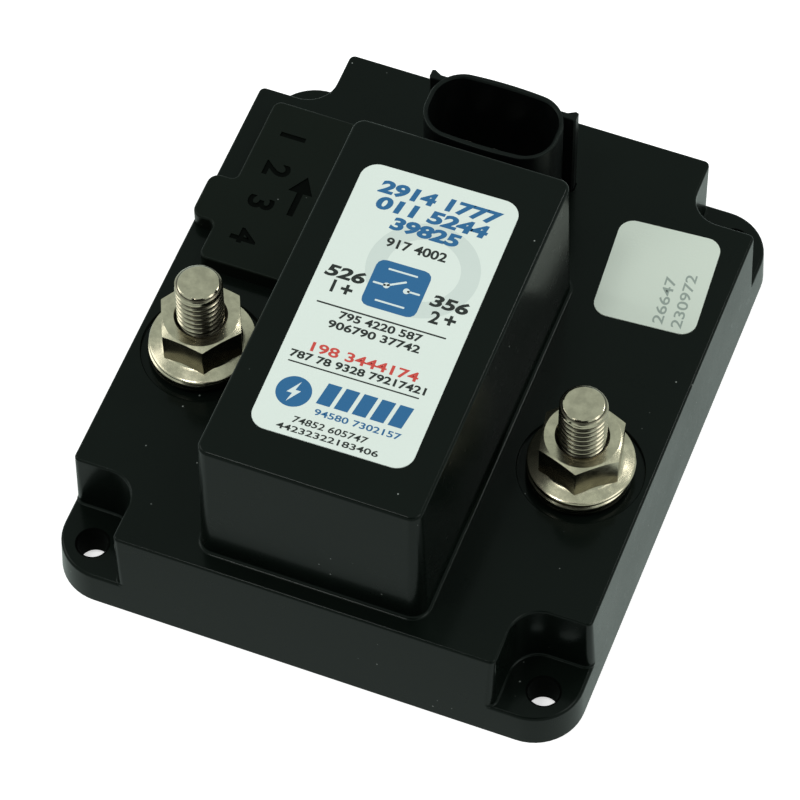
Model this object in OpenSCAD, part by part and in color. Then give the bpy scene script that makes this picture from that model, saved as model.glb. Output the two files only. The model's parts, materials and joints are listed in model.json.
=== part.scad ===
// Battery isolator relay with two stud terminals, in millimetres.
// The origin is the centre of the four mounting holes, on the face that the relay rests on.
// X runs along the short side, Y runs from the front to the connector, and Z is up.

/* [Housing body] */
// Width of the body, along X
body_w = 90; // [86:1:100]
// Length of the body, along Y
body_l = 106; // [104:1:120]
// Height of the body's top face
body_h = 20.4; // [19.5:0.1:24]
// Widening of each body side from its top edge down to its foot
body_draft = 0.9; // [0.2:0.1:1.2]
// Thickness of the body's walls
wall = 3; // [2.6:0.1:3.4]

/* [Mounting ears] */
// Height of the four ears
ear_h = 7.2; // [5:0.1:10]
// Radius of an ear's outer corner
ear_r = 8.6; // [8:0.1:11]
// Diameter of a mounting hole
ear_hole_d = 5.2; // [4:0.1:5.5]
// Distance from a hole's centre to the two top edges of the body next to it
ear_inset = 5.4; // [5:0.1:7]
// Side of the square notch above an ear
notch = 12; // [11:0.1:13]
// Radius in the notch's inner corner
notch_in_r = 5.2; // [3:0.1:6]

/* [Relay tower] */
// Width of the deck on each side of the tower's top
deck_w = 26.2; // [25.5:0.1:27]
// Distance from the tower's top to the connector
connector_gap = 7.6; // [6:0.1:9]
// Height of the tower's top above the resting face
tower_top = 48.8; // [46:0.1:56]
// Distance from the body's front to the tower's top
tower_front = 4; // [3:0.1:6]
// Radius of the tower's upright corners
tower_r = 2; // [1:0.1:3]
// How far the tower's foot stands out past its top
tower_draft = 0.7; // [0.3:0.1:1.2]
// Bevel round the tower's top face
tower_bevel = 0.5; // [0.2:0.1:0.8]
// Thickness of the tower's walls
tower_wall = 2.5; // [2:0.1:2.6]

/* [Base] */
// Thickness of the base plate
base_t = 2; // [1.6:0.1:2.6]
// How far the base plate sits above the resting face
base_recess = 0.2; // [0.1:0.1:0.4]
// Thickness of the seal between the base plate and the housing
gasket_t = 0.8; // [0.5:0.1:1]
// Wall left outside the base plate's rebate
rebate_wall = 1.2; // [1:0.1:1.5]
// Radius of a boss for a base screw
base_boss_r = 3; // [2.6:0.1:3.2]

/* [Terminals] */
// Thread diameter of the terminal studs
stud_d = 8; // [7:0.1:8.4]
// Thread pitch of the studs
stud_pitch = 1.25; // [1:0.05:1.5]
// Stud height above its nut
stud_proud = 9.2; // [7:0.1:16]
// Distance from the body's side to a stud
stud_inset = 11.7; // [11.2:0.1:12]
// Distance from the middle of the body forward to the studs
stud_forward = 13.4; // [12.5:0.1:14.5]
// Hexagon of a terminal nut, across flats
nut_af = 13; // [12:0.1:14]
// Height of a terminal nut with its flange
nut_h = 8; // [7:0.1:10]
// Diameter of a nut's flange
nut_flange_d = 17.9; // [16.5:0.1:18.4]
// Turn of the left nut's corners
nut_turn_1 = 54; // [0:1:60]
// Turn of the right nut's corners
nut_turn_2 = 41; // [0:1:60]
// Outer diameter of a terminal washer
washer_d = 18; // [17:0.1:19]
// Thickness of a terminal washer
washer_t = 1.6; // [1:0.1:2.5]
// Width of the flange round the metal collar of a stud
collar_rim = 1.6; // [1:0.1:2]
// How far a collar stands above the body's top
collar_proud = 0.3; // [0.1:0.1:1]
// Diameter of the round recess in the body's top
recess_d = 21; // [20:0.1:22]
// Depth of that recess
recess_t = 0.6; // [0.3:0.1:1]
// Width of a busbar
busbar_w = 12; // [10:0.1:12.5]
// Thickness of a busbar
busbar_t = 2; // [1.6:0.1:2.2]

/* [Relay] */
// Gap between the coil's flanges and the tower's inner walls
coil_gap = 1.8; // [1.5:0.1:3]
// Thickness of the yoke's steel
yoke_t = 2.4; // [2:0.1:3]
// Diameter of a contact's face
contact_d = 6; // [5:0.1:7]
// Width of the moving contact bridge
bridge_w = 9; // [8:0.1:10]
// Diameter of the plunger, as a share of the bobbin's
plunger_share = 0.345; // [0.28:0.005:0.36]
// Length of the plunger, as a share of the bobbin's
plunger_l_share = 0.62; // [0.55:0.01:0.65]
// Width of the yoke, as a share of the bobbin's diameter
yoke_share = 0.76; // [0.6:0.01:0.85]
// Gap of the open contacts, as a share of the height under the top wall
gap_share = 0.145; // [0.12:0.005:0.15]
// Distance from the relay's axis to a contact, as a share of that to a stud
contact_share = 0.372; // [0.36:0.004:0.38]

/* [Connector] */
// Outer width of the shroud, along X
shroud_w = 22.9; // [22:0.1:24]
// Outer length of the shroud, along Y
shroud_l = 12.6; // [12:0.1:14]
// Height of the shroud's rim above the resting face
shroud_top = 40.5; // [36:0.1:44]
// Distance from the body's back to the shroud
shroud_back = 12; // [11:0.1:13]
// Radius of the shroud's corners
shroud_r = 5.2; // [3:0.1:5.6]
// Thickness of the shroud's wall
shroud_wall = 0.8; // [0.8:0.1:1.4]
// Depth of the socket
socket_depth = 18; // [14:0.1:20]
// How far a side fin stands out from the shroud
fin_reach = 1.6; // [1:0.1:2]

/* [Switch cover] */
// Distance from the cover to the tower's top
cover_gap = 1.9; // [1.2:0.1:3]
// Distance from the studs' line to the cover
cover_stud_gap = 15.2; // [14.5:0.1:18]
// Thickness of the cover
cover_t = 3.2; // [2.6:0.1:4]
// Distance from the body's left side to the cover
cover_side = 4.5; // [4:0.1:5]
// Distance from the body's back to the cover
cover_back = 16.1; // [14:0.1:18]
// Width of the finger tab, along Y
tab_w = 9.5; // [8:0.1:12]

/* [Labels] */
// Distance from the tower label to the sides of the tower's top
label_side = 5.5; // [4.5:0.1:7]
// Distance from the tower label to the ends of the tower's top
label_end = 7.7; // [6:0.1:10]
// Width of the status label
status_w = 17.7; // [16:0.1:18]
// Length of the status label
status_l = 20.3; // [18:0.1:21]
// Distance from the body's right side to the status label's middle
status_side = 13.1; // [12:0.1:14]
// Distance from the body's back to the status label's middle
status_back = 25.8; // [25:0.1:27]
// Thickness of a label
label_t = 0.2; // [0.1:0.05:0.3]

/* [Hidden] */
$fn = 64;
overrun = 1;
// Clearances of the fits, from a running shaft to loose parts
run_gap = 0.1;
fit_gap = 0.15;
loose_gap = 0.3;
contact_clear = 0.05;

// Heights of the housing's faces
under_top = body_h - wall;
base_top = base_recess + base_t;
ledge_z = base_top + gasket_t;
hollow_h = under_top - base_top;
tower_w = body_w - 2 * deck_w;
tower_l = body_l - tower_front - connector_gap - shroud_l - shroud_back;
tower_y = -body_l / 2 + tower_front + tower_l / 2;
tower_ceiling = tower_top - tower_wall;
hull_slice = 0.1;

// Screws: shank and head radius, head height, length in the housing
screw_r = 1.4;
screw_head_r = 2.6;
screw_head_h = 1.2;
base_screw_l = 8;
base_screw_z = base_recess + run_gap + screw_head_h;

// Bosses of the base screws, beside the notches
boss_side_gap = 1.5;
boss_notch_gap = 0.5;
boss_rib_t = 2;
boss_x = body_w / 2 - wall - boss_side_gap - base_boss_r;
boss_y = body_l / 2 - notch - wall - boss_notch_gap - base_boss_r;

// Terminals, from the housing's top wall downwards
stud_x = body_w / 2 - stud_inset;
stud_y = -stud_forward;
stud_core_r = stud_d / 2 - 0.16 * stud_pitch;
stud_root_r = stud_d / 2 - 0.6 * stud_pitch;
collar_top = body_h + collar_proud;
collar_flange_r = stud_inset - wall - loose_gap;
collar_d = 2 * (collar_flange_r - collar_rim);
collar_flange_t = 0.079 * hollow_h;
seal_t = 0.053 * hollow_h;
busbar_top = under_top - seal_t - collar_flange_t;
busbar_z = busbar_top - busbar_t;
busbar_pad_r = collar_flange_r - loose_gap;
busbar_reach = 0.7;
stud_head_h = 4.5;
stud_head_r = nut_af / sqrt(3);
washer_top = collar_top + washer_t;
nut_top = washer_top + nut_h;
stud_top = nut_top + stud_proud;
stud_chamfer = 1;
nut_bore_r = stud_d / 2 + contact_clear;

// Contacts and the moving parts below the coil
relay_y = stud_y;
contact_x = contact_share * stud_x;
contact_gap = gap_share * hollow_h;
overtravel = 0.02 * hollow_h;
plunger_travel = contact_gap + overtravel;
fixed_contact_t = 0.079 * hollow_h;
tip_t = 0.066 * hollow_h;
bridge_t = 0.13 * hollow_h;
busbar_start = contact_x - contact_d / 2 - busbar_reach;
fixed_contact_z = busbar_z - fixed_contact_t;
bridge_top = fixed_contact_z - contact_gap - tip_t;
bridge_z = bridge_top - bridge_t;
rod_r = 1.5;
rod_bottom = base_top + loose_gap;
clip_t = 0.033 * hollow_h;
clip_groove = 0.3;
clip_z = rod_bottom + loose_gap;
seat_t = 0.04 * hollow_h;
seat_r = 3.4;
seat_top = clip_z + clip_t + seat_t;
rod_collar_r = 3;
rod_collar_t = 0.1 * hollow_h;
plunger_drop = 1;
plunger_z = under_top - plunger_drop;

// Coil between the yoke's two plates
yoke_plate_t = 2.2;
pad_t = 1.7;
bobbin_z = under_top + yoke_plate_t;
yoke_top = tower_ceiling - pad_t;
bobbin_top = yoke_top - yoke_t;
bobbin_d = tower_w - 2 * tower_wall - 2 * coil_gap;
plunger_d = plunger_share * bobbin_d;
plunger_l = plunger_l_share * (bobbin_top - bobbin_z);
core_z = plunger_z + plunger_l + plunger_travel + run_gap;
yoke_w = yoke_share * bobbin_d;
bobbin_bore_r = plunger_d / 2 + run_gap;
bobbin_wall = 1.5;
bobbin_tube_r = bobbin_bore_r + bobbin_wall;
bobbin_flange_t = 1.2;
bobbin_rim = 1.5;
winding_r = bobbin_d / 2 - bobbin_rim;
tape_t = 0.3;
leg_gap = 0.5;
leg_y = bobbin_d / 2 + leg_gap;
core_rivet_r = 0.8 * plunger_d / 2;

// Springs: wire radius, mean radius, turns
return_wire_r = 0.025 * plunger_d;
return_r = 0.21 * plunger_d;
return_turns = 9;
return_bore_r = return_r + return_wire_r + loose_gap;
return_seat_depth = 0.36 * plunger_l;
contact_wire_r = 0.1 * (bridge_z - seat_top);
contact_spring_r = 2.5;
contact_turns = 3;
turn_steps = 12;
wire_sides = 6;

// Insulating carrier round the contacts, with a plate for the yoke on top
carrier_wall = 2.5;
carrier_web = 2;
carrier_end = 2.4;
carrier_x = contact_x + contact_d / 2 + carrier_wall + carrier_end;
carrier_y = leg_y + yoke_t + loose_gap;
chamber_y = bridge_w / 2 + carrier_wall;
carrier_bar_t = 2.4;
carrier_bar_r = 3;
carrier_boss_h = 3;
carrier_bar_gap = 0.6;
carrier_hole_x = carrier_x + carrier_bar_gap + carrier_bar_r;
carrier_hole_y = chamber_y + carrier_wall + carrier_bar_r;
carrier_bar_z = under_top - carrier_boss_h - carrier_bar_t;

// Circuit board under the housing's top wall
board_t = 1.6;
board_drop = 5;
board_gap = 1.5;
board_relay_gap = 4.6;
board_top = under_top - board_drop;
board_x = body_w / 2 - wall - board_gap;
board_front = relay_y + max(carrier_y, carrier_hole_y + carrier_bar_r) + board_relay_gap;
board_step_y = boss_y - base_boss_r - board_gap / 2;
board_narrow_x = body_w / 2 - notch - wall - board_gap;
board_back = body_l / 2 - wall - board_gap;
post_r = 2.5;
post_screw_r = 1.2;
post_edge = 0.4;
post_front = [board_x - post_r, board_front + post_r + post_edge];
post_rear = [board_narrow_x - post_r - post_edge, board_back - post_r - post_edge];

// Setting switches under their cover
cover_w = deck_w - cover_side - cover_gap;
cover_l = body_l / 2 - cover_back - stud_y - cover_stud_gap;
cover_x = -body_w / 2 + cover_side + cover_w / 2;
cover_y = body_l / 2 - cover_back - cover_l / 2;
cover_r = 1.5;
tab_r = 2.5;
tab_y = cover_y - 0.15 * cover_l;
dip_count = 4;
dip_pitch = 2.54;
dip_w = 9.6;
dip_end = 0.75;
dip_l = dip_count * dip_pitch + 2 * dip_end;
dip_front_gap = 4.6;
dip_y = board_front + dip_front_gap + dip_l / 2;
window_margin = 0.7;
plug_t = 1.4;
slot_depth = 0.8;
slot_w = 1.6;
slot_l = 4.2;
slider_w = 1.4;
slider_l = 1.8;
slider_proud = 1;
lip_w = 1.4;
lip_t = 0.6;

// Connector
shroud_y = body_l / 2 - shroud_back - shroud_l / 2;
socket_floor = shroud_top - socket_depth;
header_flange_t = 2;
header_flange_rim = 2;
header_seal_t = 0.6;
fin_t = 1.2;
fin_back = 1.1;
fin_y = shroud_l / 2 - fin_back - fin_t / 2;
fin_drop = 0.2;
pin_columns = 3;
pin_rows = 2;
pin_dx = 5.5;
pin_dy = 4.2;
pin_w = 1.5;
pin_t = 0.8;
pin_reach = 5.5;
pin_tail = 1.2;

// Status light and labels
status_x = body_w / 2 - status_side;
status_y = body_l / 2 - status_back;
status_turn = 4;
status_r = 2.7;
label_w = tower_w - 2 * label_side;
label_l = tower_l - 2 * label_end;
label_turn = 1;
label_r = 3;
led_r = 1.5;
led_h = 2;
pipe_r = 2;

// Small parts on the board, with the chips' places as shares of the board
chip_w = 7;
chip_t = 1.2;
chip_place_shares = [[0.42, 0.2], [-0.42, 0.35], [0.5, 0.45]];
cap_r = 4;
cap_h = board_drop - loose_gap;
cap_x = 6;

// Leads from the coil and from the busbars to the board
lead_r = 0.6;
lead_sides = 8;
coil_lead_x = yoke_w / 2 + 2 * lead_r + loose_gap;
sense_lead_x = stud_x - busbar_pad_r / 2;

// A rectangle with round corners, in the middle of the plane
module rounded_rect(w, l, r) {
    square([w - 2 * r, l], center = true);
    square([w, l - 2 * r], center = true);
    for (sx = [-1, 1], sy = [-1, 1])
        translate([sx * (w / 2 - r), sy * (l / 2 - r)])
            circle(r);
}

// A disc or a ring, from height z upwards
module ring(z, h, outer, inner) {
    translate([0, 0, z])
        difference() {
            cylinder(h = h, r = outer);
            if (inner > 0)
                translate([0, 0, -overrun])
                    cylinder(h = h + 2 * overrun, r = inner);
        }
}

// Repeats a piece in the four quarters of the plane
module four_ways() {
    for (mx = [0, 1], my = [0, 1])
        mirror([mx, 0, 0])
            mirror([0, my, 0])
                children();
}

// The notch above one ear, grown by inset into the body
module corner_notch(inset) {
    x = body_w / 2 - notch - inset;
    y = body_l / 2 - notch - inset;
    r = notch_in_r + inset;
    side = notch + inset + overrun;
    translate([x + r, y])
        square([side - r, side]);
    translate([x, y + r])
        square([side, side - r]);
    translate([x + r, y + r])
        circle(r);
}

// Plan of the body between its notches, moved inwards by inset
module body_plan(inset) {
    difference() {
        square([body_w - 2 * inset, body_l - 2 * inset], center = true);
        four_ways()
            corner_notch(inset);
    }
}

// A closed tube through a list of rings, each a centre and two axes across the tube
module tube(rings, r, sides) {
    n = len(rings);
    points = [for (ring = rings, k = [0 : sides - 1])
        ring[0] + r * (cos(360 * k / sides) * ring[1] + sin(360 * k / sides) * ring[2])];
    walls = [for (i = [0 : n - 2], k = [0 : sides - 1], half = [0, 1])
        let (a = i * sides + k, b = i * sides + (k + 1) % sides)
        half == 0 ? [a, a + sides, b + sides] : [a, b + sides, b]];
    first = [for (k = [1 : sides - 2]) [0, k, k + 1]];
    last = [for (k = [1 : sides - 2]) [0, k + 1, k] + (n - 1) * sides * [1, 1, 1]];
    polyhedron(points, concat(walls, first, last));
}

// A wire spring that stands on height z, with the given free length
module spring(z, length, mean_r, wire_r, turns) {
    steps = turns * turn_steps;
    rise = length - 2 * wire_r;
    tube([for (i = [0 : steps])
        let (a = 360 * i / turn_steps)
        [[mean_r * cos(a), mean_r * sin(a), z + wire_r + rise * i / steps],
         [cos(a), sin(a), 0], [0, 0, -1]]], wire_r, wire_sides);
}

// A lead at one X through points of Y and Z
module lead(x, route) {
    n = len(route);
    tube([for (i = [0 : n - 1])
        let (along = route[min(i + 1, n - 1)] - route[max(i - 1, 0)], t = along / norm(along))
        [[x, route[i][0], route[i][1]], [1, 0, 0], [0, t[1], -t[0]]]], lead_r, lead_sides);
}

// A screw from below: shank from height z upwards, head under it
module screw(z, length, shank_r, head_r) {
    translate([0, 0, z])
        cylinder(h = length, r = shank_r);
    difference() {
        translate([0, 0, z - screw_head_h])
            cylinder(h = screw_head_h, r = head_r);
        translate([0, 0, z - screw_head_h - overrun])
            cylinder(h = overrun + screw_head_h / 2, r = shank_r, $fn = 6);
    }
}

// Round post with a screw hole, hanging down from the top wall to height z
module post(z, outer, hole) {
    ring(z, under_top - z + fit_gap, outer, hole);
}

// The body and its ears before the notches are cut, wider at the foot
module body_block() {
    hull() {
        linear_extrude(hull_slice)
            rounded_rect(body_w + 2 * body_draft, body_l + 2 * body_draft, ear_r, $fn = 48);
        translate([0, 0, body_h - hull_slice])
            linear_extrude(hull_slice)
                rounded_rect(body_w, body_l, ear_r, $fn = 48);
    }
}

module tower_body() {
    hull() {
        translate([0, tower_y, under_top])
            linear_extrude(wall)
                rounded_rect(tower_w + 2 * tower_draft, tower_l + 2 * tower_draft,
                    tower_r + tower_draft, $fn = 32);
        translate([0, tower_y, tower_top - tower_bevel - hull_slice])
            linear_extrude(hull_slice)
                rounded_rect(tower_w, tower_l, tower_r, $fn = 32);
        translate([0, tower_y, tower_top - hull_slice])
            linear_extrude(hull_slice)
                rounded_rect(tower_w - 2 * tower_bevel, tower_l - 2 * tower_bevel,
                    tower_r - tower_bevel / 2, $fn = 32);
    }
}

module shroud_plan(grow) {
    rounded_rect(shroud_w + 2 * grow, shroud_l + 2 * grow, shroud_r + grow);
    translate([0, fin_y])
        square([shroud_w + 2 * fin_reach + 2 * grow, fin_t + 2 * grow], center = true);
}

// Openings in the housing's top wall
module top_openings() {
    for (side = [-1, 1])
        translate([side * stud_x, stud_y, 0]) {
            translate([0, 0, under_top - overrun])
                cylinder(h = wall + 2 * overrun, r = collar_d / 2 + fit_gap);
            translate([0, 0, body_h - recess_t])
                cylinder(h = recess_t + overrun, r = recess_d / 2);
        }
    translate([cover_x, dip_y, under_top - overrun])
        linear_extrude(wall + 2 * overrun)
            rounded_rect(dip_w + 2 * window_margin, dip_l + 2 * window_margin, cover_r);
    translate([0, shroud_y, under_top - overrun])
        linear_extrude(wall + 2 * overrun)
            shroud_plan(fit_gap);
    translate([status_x, status_y, under_top - overrun])
        cylinder(h = wall + 2 * overrun, r = pipe_r + fit_gap);
}

module housing() {
    color("#1c1f1d") {
        difference() {
            union() {
                difference() {
                    body_block();
                    translate([0, 0, ear_h])
                        linear_extrude(body_h)
                            four_ways()
                                corner_notch(0);
                }
                tower_body();
            }
            translate([0, 0, -overrun])
                linear_extrude(under_top + overrun)
                    body_plan(wall);
            translate([0, 0, -overrun])
                linear_extrude(ledge_z + overrun)
                    body_plan(rebate_wall);
            translate([0, tower_y, under_top - overrun])
                linear_extrude(tower_ceiling - under_top + overrun)
                    rounded_rect(tower_w - 2 * tower_wall, tower_l - 2 * tower_wall, tower_r / 2);
            top_openings();
            four_ways()
                translate([body_w / 2 - ear_inset, body_l / 2 - ear_inset, -overrun])
                    cylinder(h = ear_h + 2 * overrun, r = ear_hole_d / 2);
        }
        four_ways()
            translate([boss_x, boss_y, 0]) {
                post(base_top, base_boss_r, screw_r + contact_clear);
                translate([base_boss_r - run_gap, -boss_rib_t / 2, ledge_z])
                    cube([body_w / 2 - wall - boss_x - base_boss_r + 3 * run_gap, boss_rib_t,
                        under_top - ledge_z + fit_gap]);
            }
        for (sx = [-1, 1]) {
            for (place = [post_front, post_rear])
                translate([sx * place[0], place[1], 0])
                    post(board_top, post_r, post_screw_r + contact_clear);
            for (sy = [-1, 1])
                translate([sx * carrier_hole_x, relay_y + sy * carrier_hole_y, 0])
                    post(under_top - carrier_boss_h, carrier_bar_r, screw_r + contact_clear);
        }
    }
}

module base_plate() {
    color("#262927")
        difference() {
            translate([0, 0, base_recess])
                linear_extrude(base_t)
                    body_plan(rebate_wall + fit_gap);
            four_ways()
                translate([boss_x, boss_y, 0]) {
                    cylinder(h = base_top + overrun, r = screw_r + loose_gap);
                    translate([0, 0, base_recess - overrun])
                        cylinder(h = overrun + base_screw_z - base_recess,
                            r = screw_head_r + loose_gap);
                }
        }
}

module base_gasket() {
    color("#3a3d3a")
        translate([0, 0, base_top])
            linear_extrude(gasket_t)
                difference() {
                    body_plan(rebate_wall + fit_gap);
                    body_plan(wall);
                }
}

module base_screws() {
    color("silver")
        four_ways()
            translate([boss_x, boss_y, 0])
                screw(base_screw_z, base_screw_l, screw_r, screw_head_r);
}

module circuit_board() {
    color("#1f5b3a")
        translate([0, 0, board_top - board_t])
            linear_extrude(board_t)
                difference() {
                    union() {
                        translate([-board_x, board_front])
                            square([2 * board_x, board_step_y - board_front]);
                        translate([-board_narrow_x, board_front])
                            square([2 * board_narrow_x, board_back - board_front]);
                    }
                    for (sx = [-1, 1], place = [post_front, post_rear])
                        translate([sx * place[0], place[1]])
                            circle(post_screw_r + fit_gap);
                    translate([0, shroud_y])
                        pin_grid()
                            square([pin_w + 2 * contact_clear, pin_t + 2 * contact_clear],
                                center = true);
                }
}

module board_screws() {
    color("silver")
        for (sx = [-1, 1], place = [post_front, post_rear])
            translate([sx * place[0], place[1], 0])
                screw(board_top - board_t, board_t + board_drop / 2, post_screw_r, 0.9 * post_r);
}

module board_chips() {
    color("#232323")
        for (place = chip_place_shares)
            translate([place[0] * board_x, board_front + place[1] * (board_back - board_front),
                board_top + chip_t / 2])
                cube([chip_w, chip_w, chip_t], center = true);
}

module board_capacitors() {
    color("#2f3a55")
        for (sx = [-1, 1])
            translate([sx * cap_x, board_front + cap_r + loose_gap, board_top])
                cylinder(h = cap_h, r = cap_r);
}

// Places its children at each switch, level with the top of their block
module at_switch(i) {
    translate([cover_x, dip_y + (i - (dip_count + 1) / 2) * dip_pitch, under_top])
        children();
}

module dip_switch_body() {
    color("#8f2622")
        difference() {
            translate([cover_x - dip_w / 2, dip_y - dip_l / 2, board_top])
                cube([dip_w, dip_l, board_drop]);
            for (i = [1 : dip_count])
                at_switch(i)
                    translate([-slot_l / 2, -slot_w / 2, -slot_depth])
                        cube([slot_l, slot_w, slot_depth + overrun]);
        }
}

module dip_slider(i) {
    color("white")
        at_switch(i)
            translate([-slot_l / 2 + run_gap, -slider_w / 2, -slot_depth])
                cube([slider_l, slider_w, slot_depth + slider_proud]);
}

// Plan of the cover with its finger tab over the body's left side
module cover_plan() {
    rounded_rect(cover_w, cover_l, cover_r);
    translate([-cover_w / 2 - cover_side / 2 + tab_r / 2, tab_y - cover_y])
        rounded_rect(cover_side + tab_r, tab_w, tab_r);
}

// Plan of the window's plug, grown by the given width
module plug_plan(grow) {
    inner = window_margin - fit_gap;
    rounded_rect(dip_w + 2 * inner + 2 * grow, dip_l + 2 * inner + 2 * grow, cover_r + grow);
}

module dip_cover() {
    color("#202321") {
        difference() {
            translate([cover_x, cover_y, body_h])
                linear_extrude(cover_t)
                    cover_plan();
            translate([cover_x, dip_y, body_h - overrun])
                linear_extrude(overrun + lip_t)
                    difference() {
                        plug_plan(window_margin + lip_w);
                        plug_plan(0);
                    }
        }
        translate([cover_x, dip_y, body_h - plug_t])
            linear_extrude(plug_t + contact_clear)
                plug_plan(0);
    }
}

module dip_cover_seal() {
    color("#3a3d3a")
        translate([cover_x, dip_y, body_h])
            linear_extrude(lip_t)
                difference() {
                    plug_plan(window_margin + lip_w);
                    plug_plan(0);
                }
}

module connector_header() {
    color("#191c1a")
        translate([0, shroud_y, 0])
            difference() {
                union() {
                    translate([0, 0, board_top])
                        linear_extrude(under_top - board_top)
                            rounded_rect(shroud_w, shroud_l, shroud_r);
                    translate([0, 0, under_top - header_seal_t - header_flange_t])
                        linear_extrude(header_flange_t)
                            rounded_rect(shroud_w + 2 * header_flange_rim + 2 * fin_reach,
                                shroud_l + 2 * header_flange_rim, shroud_r);
                    translate([0, 0, under_top - header_seal_t])
                        linear_extrude(shroud_top - fin_drop - under_top + header_seal_t)
                            shroud_plan(0);
                    translate([0, 0, under_top])
                        linear_extrude(shroud_top - under_top)
                            rounded_rect(shroud_w, shroud_l, shroud_r);
                }
                translate([0, 0, socket_floor])
                    linear_extrude(socket_depth + overrun)
                        rounded_rect(shroud_w - 2 * shroud_wall, shroud_l - 2 * shroud_wall,
                            shroud_r - shroud_wall);
                translate([0, 0, board_top - overrun])
                    linear_extrude(socket_floor - board_top + 2 * overrun)
                        pin_grid()
                            square([pin_w + 2 * contact_clear, pin_t + 2 * contact_clear],
                                center = true);
            }
}

// Places its children at each connector pin, round the socket's middle
module pin_grid() {
    for (i = [0 : pin_columns - 1], j = [0 : pin_rows - 1])
        translate([(i - (pin_columns - 1) / 2) * pin_dx, (j - (pin_rows - 1) / 2) * pin_dy])
            children();
}

module connector_pins() {
    color("#c9b26a")
        translate([0, shroud_y, board_top - board_t - pin_tail])
            linear_extrude(socket_floor + pin_reach - board_top + board_t + pin_tail)
                pin_grid()
                    square([pin_w, pin_t], center = true);
}

module connector_seal() {
    color("#7a3b30")
        translate([0, shroud_y, under_top - header_seal_t])
            linear_extrude(header_seal_t)
                difference() {
                    rounded_rect(shroud_w + 2 * header_flange_rim + 2 * fin_reach,
                        shroud_l + 2 * header_flange_rim, shroud_r);
                    shroud_plan(fit_gap);
                }
}

module status_led() {
    color("#d8e8d0")
        translate([status_x, status_y, board_top])
            cylinder(h = led_h, r = led_r);
}

module light_pipe() {
    color("#e8f0ee")
        translate([status_x, status_y, board_top + led_h + loose_gap])
            cylinder(h = body_h - board_top - led_h - loose_gap, r = pipe_r);
}

module status_label() {
    color("#dbe6df")
        translate([status_x, status_y, body_h])
            rotate(status_turn)
                linear_extrude(label_t)
                    rounded_rect(status_w, status_l, status_r);
}

module main_label() {
    color("#dbe6df")
        translate([0, tower_y, tower_top])
            rotate(label_turn)
                linear_extrude(label_t)
                    rounded_rect(label_w, label_l, label_r);
}

// Half outline of the stud above its head: smooth up to the nut's top, then ring grooves
function thread_outline() =
    let (rings = floor((stud_proud - stud_chamfer) / stud_pitch), z0 = nut_top)
    concat(
        [for (i = [0 : rings - 1], p = [[0.1, stud_root_r], [0.4, stud_d / 2], [0.6, stud_d / 2],
            [0.9, stud_root_r]])
            [p[1], z0 + (i + p[0]) * stud_pitch]],
        [[stud_d / 2 - stud_chamfer / 3, stud_top - stud_chamfer],
         [stud_d / 2 - stud_chamfer, stud_top], [0, stud_top]]);

module terminal_stud(side) {
    color("#a8a796")
        translate([side * stud_x, stud_y, 0]) {
            translate([0, 0, busbar_z - stud_head_h])
                cylinder(h = stud_head_h, r = stud_head_r, $fn = 6);
            rotate_extrude()
                polygon(concat([[0, busbar_z - overrun], [stud_core_r, busbar_z - overrun],
                    [stud_core_r, nut_top]], thread_outline()));
        }
}

module terminal_collar(side) {
    color("#b9a066")
        translate([side * stud_x, stud_y, 0])
            difference() {
                union() {
                    ring(busbar_top, collar_top - busbar_top, collar_d / 2, 0);
                    ring(busbar_top, collar_flange_t, collar_flange_r, 0);
                }
                ring(busbar_top - overrun, collar_top - busbar_top + 2 * overrun,
                    stud_core_r + fit_gap, 0);
            }
}

module terminal_seal(side) {
    color("#3a3d3a")
        translate([side * stud_x, stud_y, 0])
            ring(under_top - seal_t, seal_t, collar_flange_r, collar_d / 2 + fit_gap);
}

module terminal_washer(side) {
    color("#b4b3a4")
        translate([side * stud_x, stud_y, 0])
            ring(collar_top, washer_t, washer_d / 2, stud_d / 2 + fit_gap);
}

module terminal_nut(side, turn) {
    flange_r = nut_flange_d / 2;
    corner_r = nut_af / sqrt(3);
    rim_z = 0.09 * nut_h;
    slope_z = 0.22 * nut_h;
    color("#b4b3a4")
        translate([side * stud_x, stud_y, washer_top])
            rotate(turn)
                difference() {
                    union() {
                        rotate_extrude()
                            polygon([[0, 0], [0.88 * flange_r, 0], [flange_r, rim_z],
                                [flange_r, 2 * rim_z], [nut_af / 2, slope_z], [0, slope_z]]);
                        intersection() {
                            cylinder(h = nut_h, r = corner_r, $fn = 6);
                            rotate_extrude()
                                polygon([[0, 0], [corner_r, 0],
                                    [corner_r, nut_h - (corner_r - 0.475 * nut_af) * tan(24)],
                                    [0.475 * nut_af, nut_h], [0, nut_h]]);
                        }
                    }
                    translate([0, 0, -overrun])
                        cylinder(h = nut_h + 2 * overrun, r = nut_bore_r);
                    translate([0, 0, nut_h - 0.08 * nut_h])
                        cylinder(h = 0.16 * nut_h, r1 = nut_bore_r, r2 = nut_bore_r + 0.16 * nut_h);
                }
}

// Strip of a busbar in plan, from its round stud pad inwards
module busbar(side) {
    color("#b0693f")
        translate([side * stud_x, stud_y, busbar_z])
            linear_extrude(busbar_t)
                difference() {
                    union() {
                        circle(busbar_pad_r);
                        translate([side > 0 ? busbar_start - stud_x : 0, -busbar_w / 2])
                            square([stud_x - busbar_start, busbar_w]);
                    }
                    circle(stud_core_r + fit_gap);
                }
}

module fixed_contact(side) {
    color("#d9d9d6")
        translate([side * contact_x, relay_y, 0])
            ring(fixed_contact_z, fixed_contact_t, contact_d / 2, 0);
}

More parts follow.
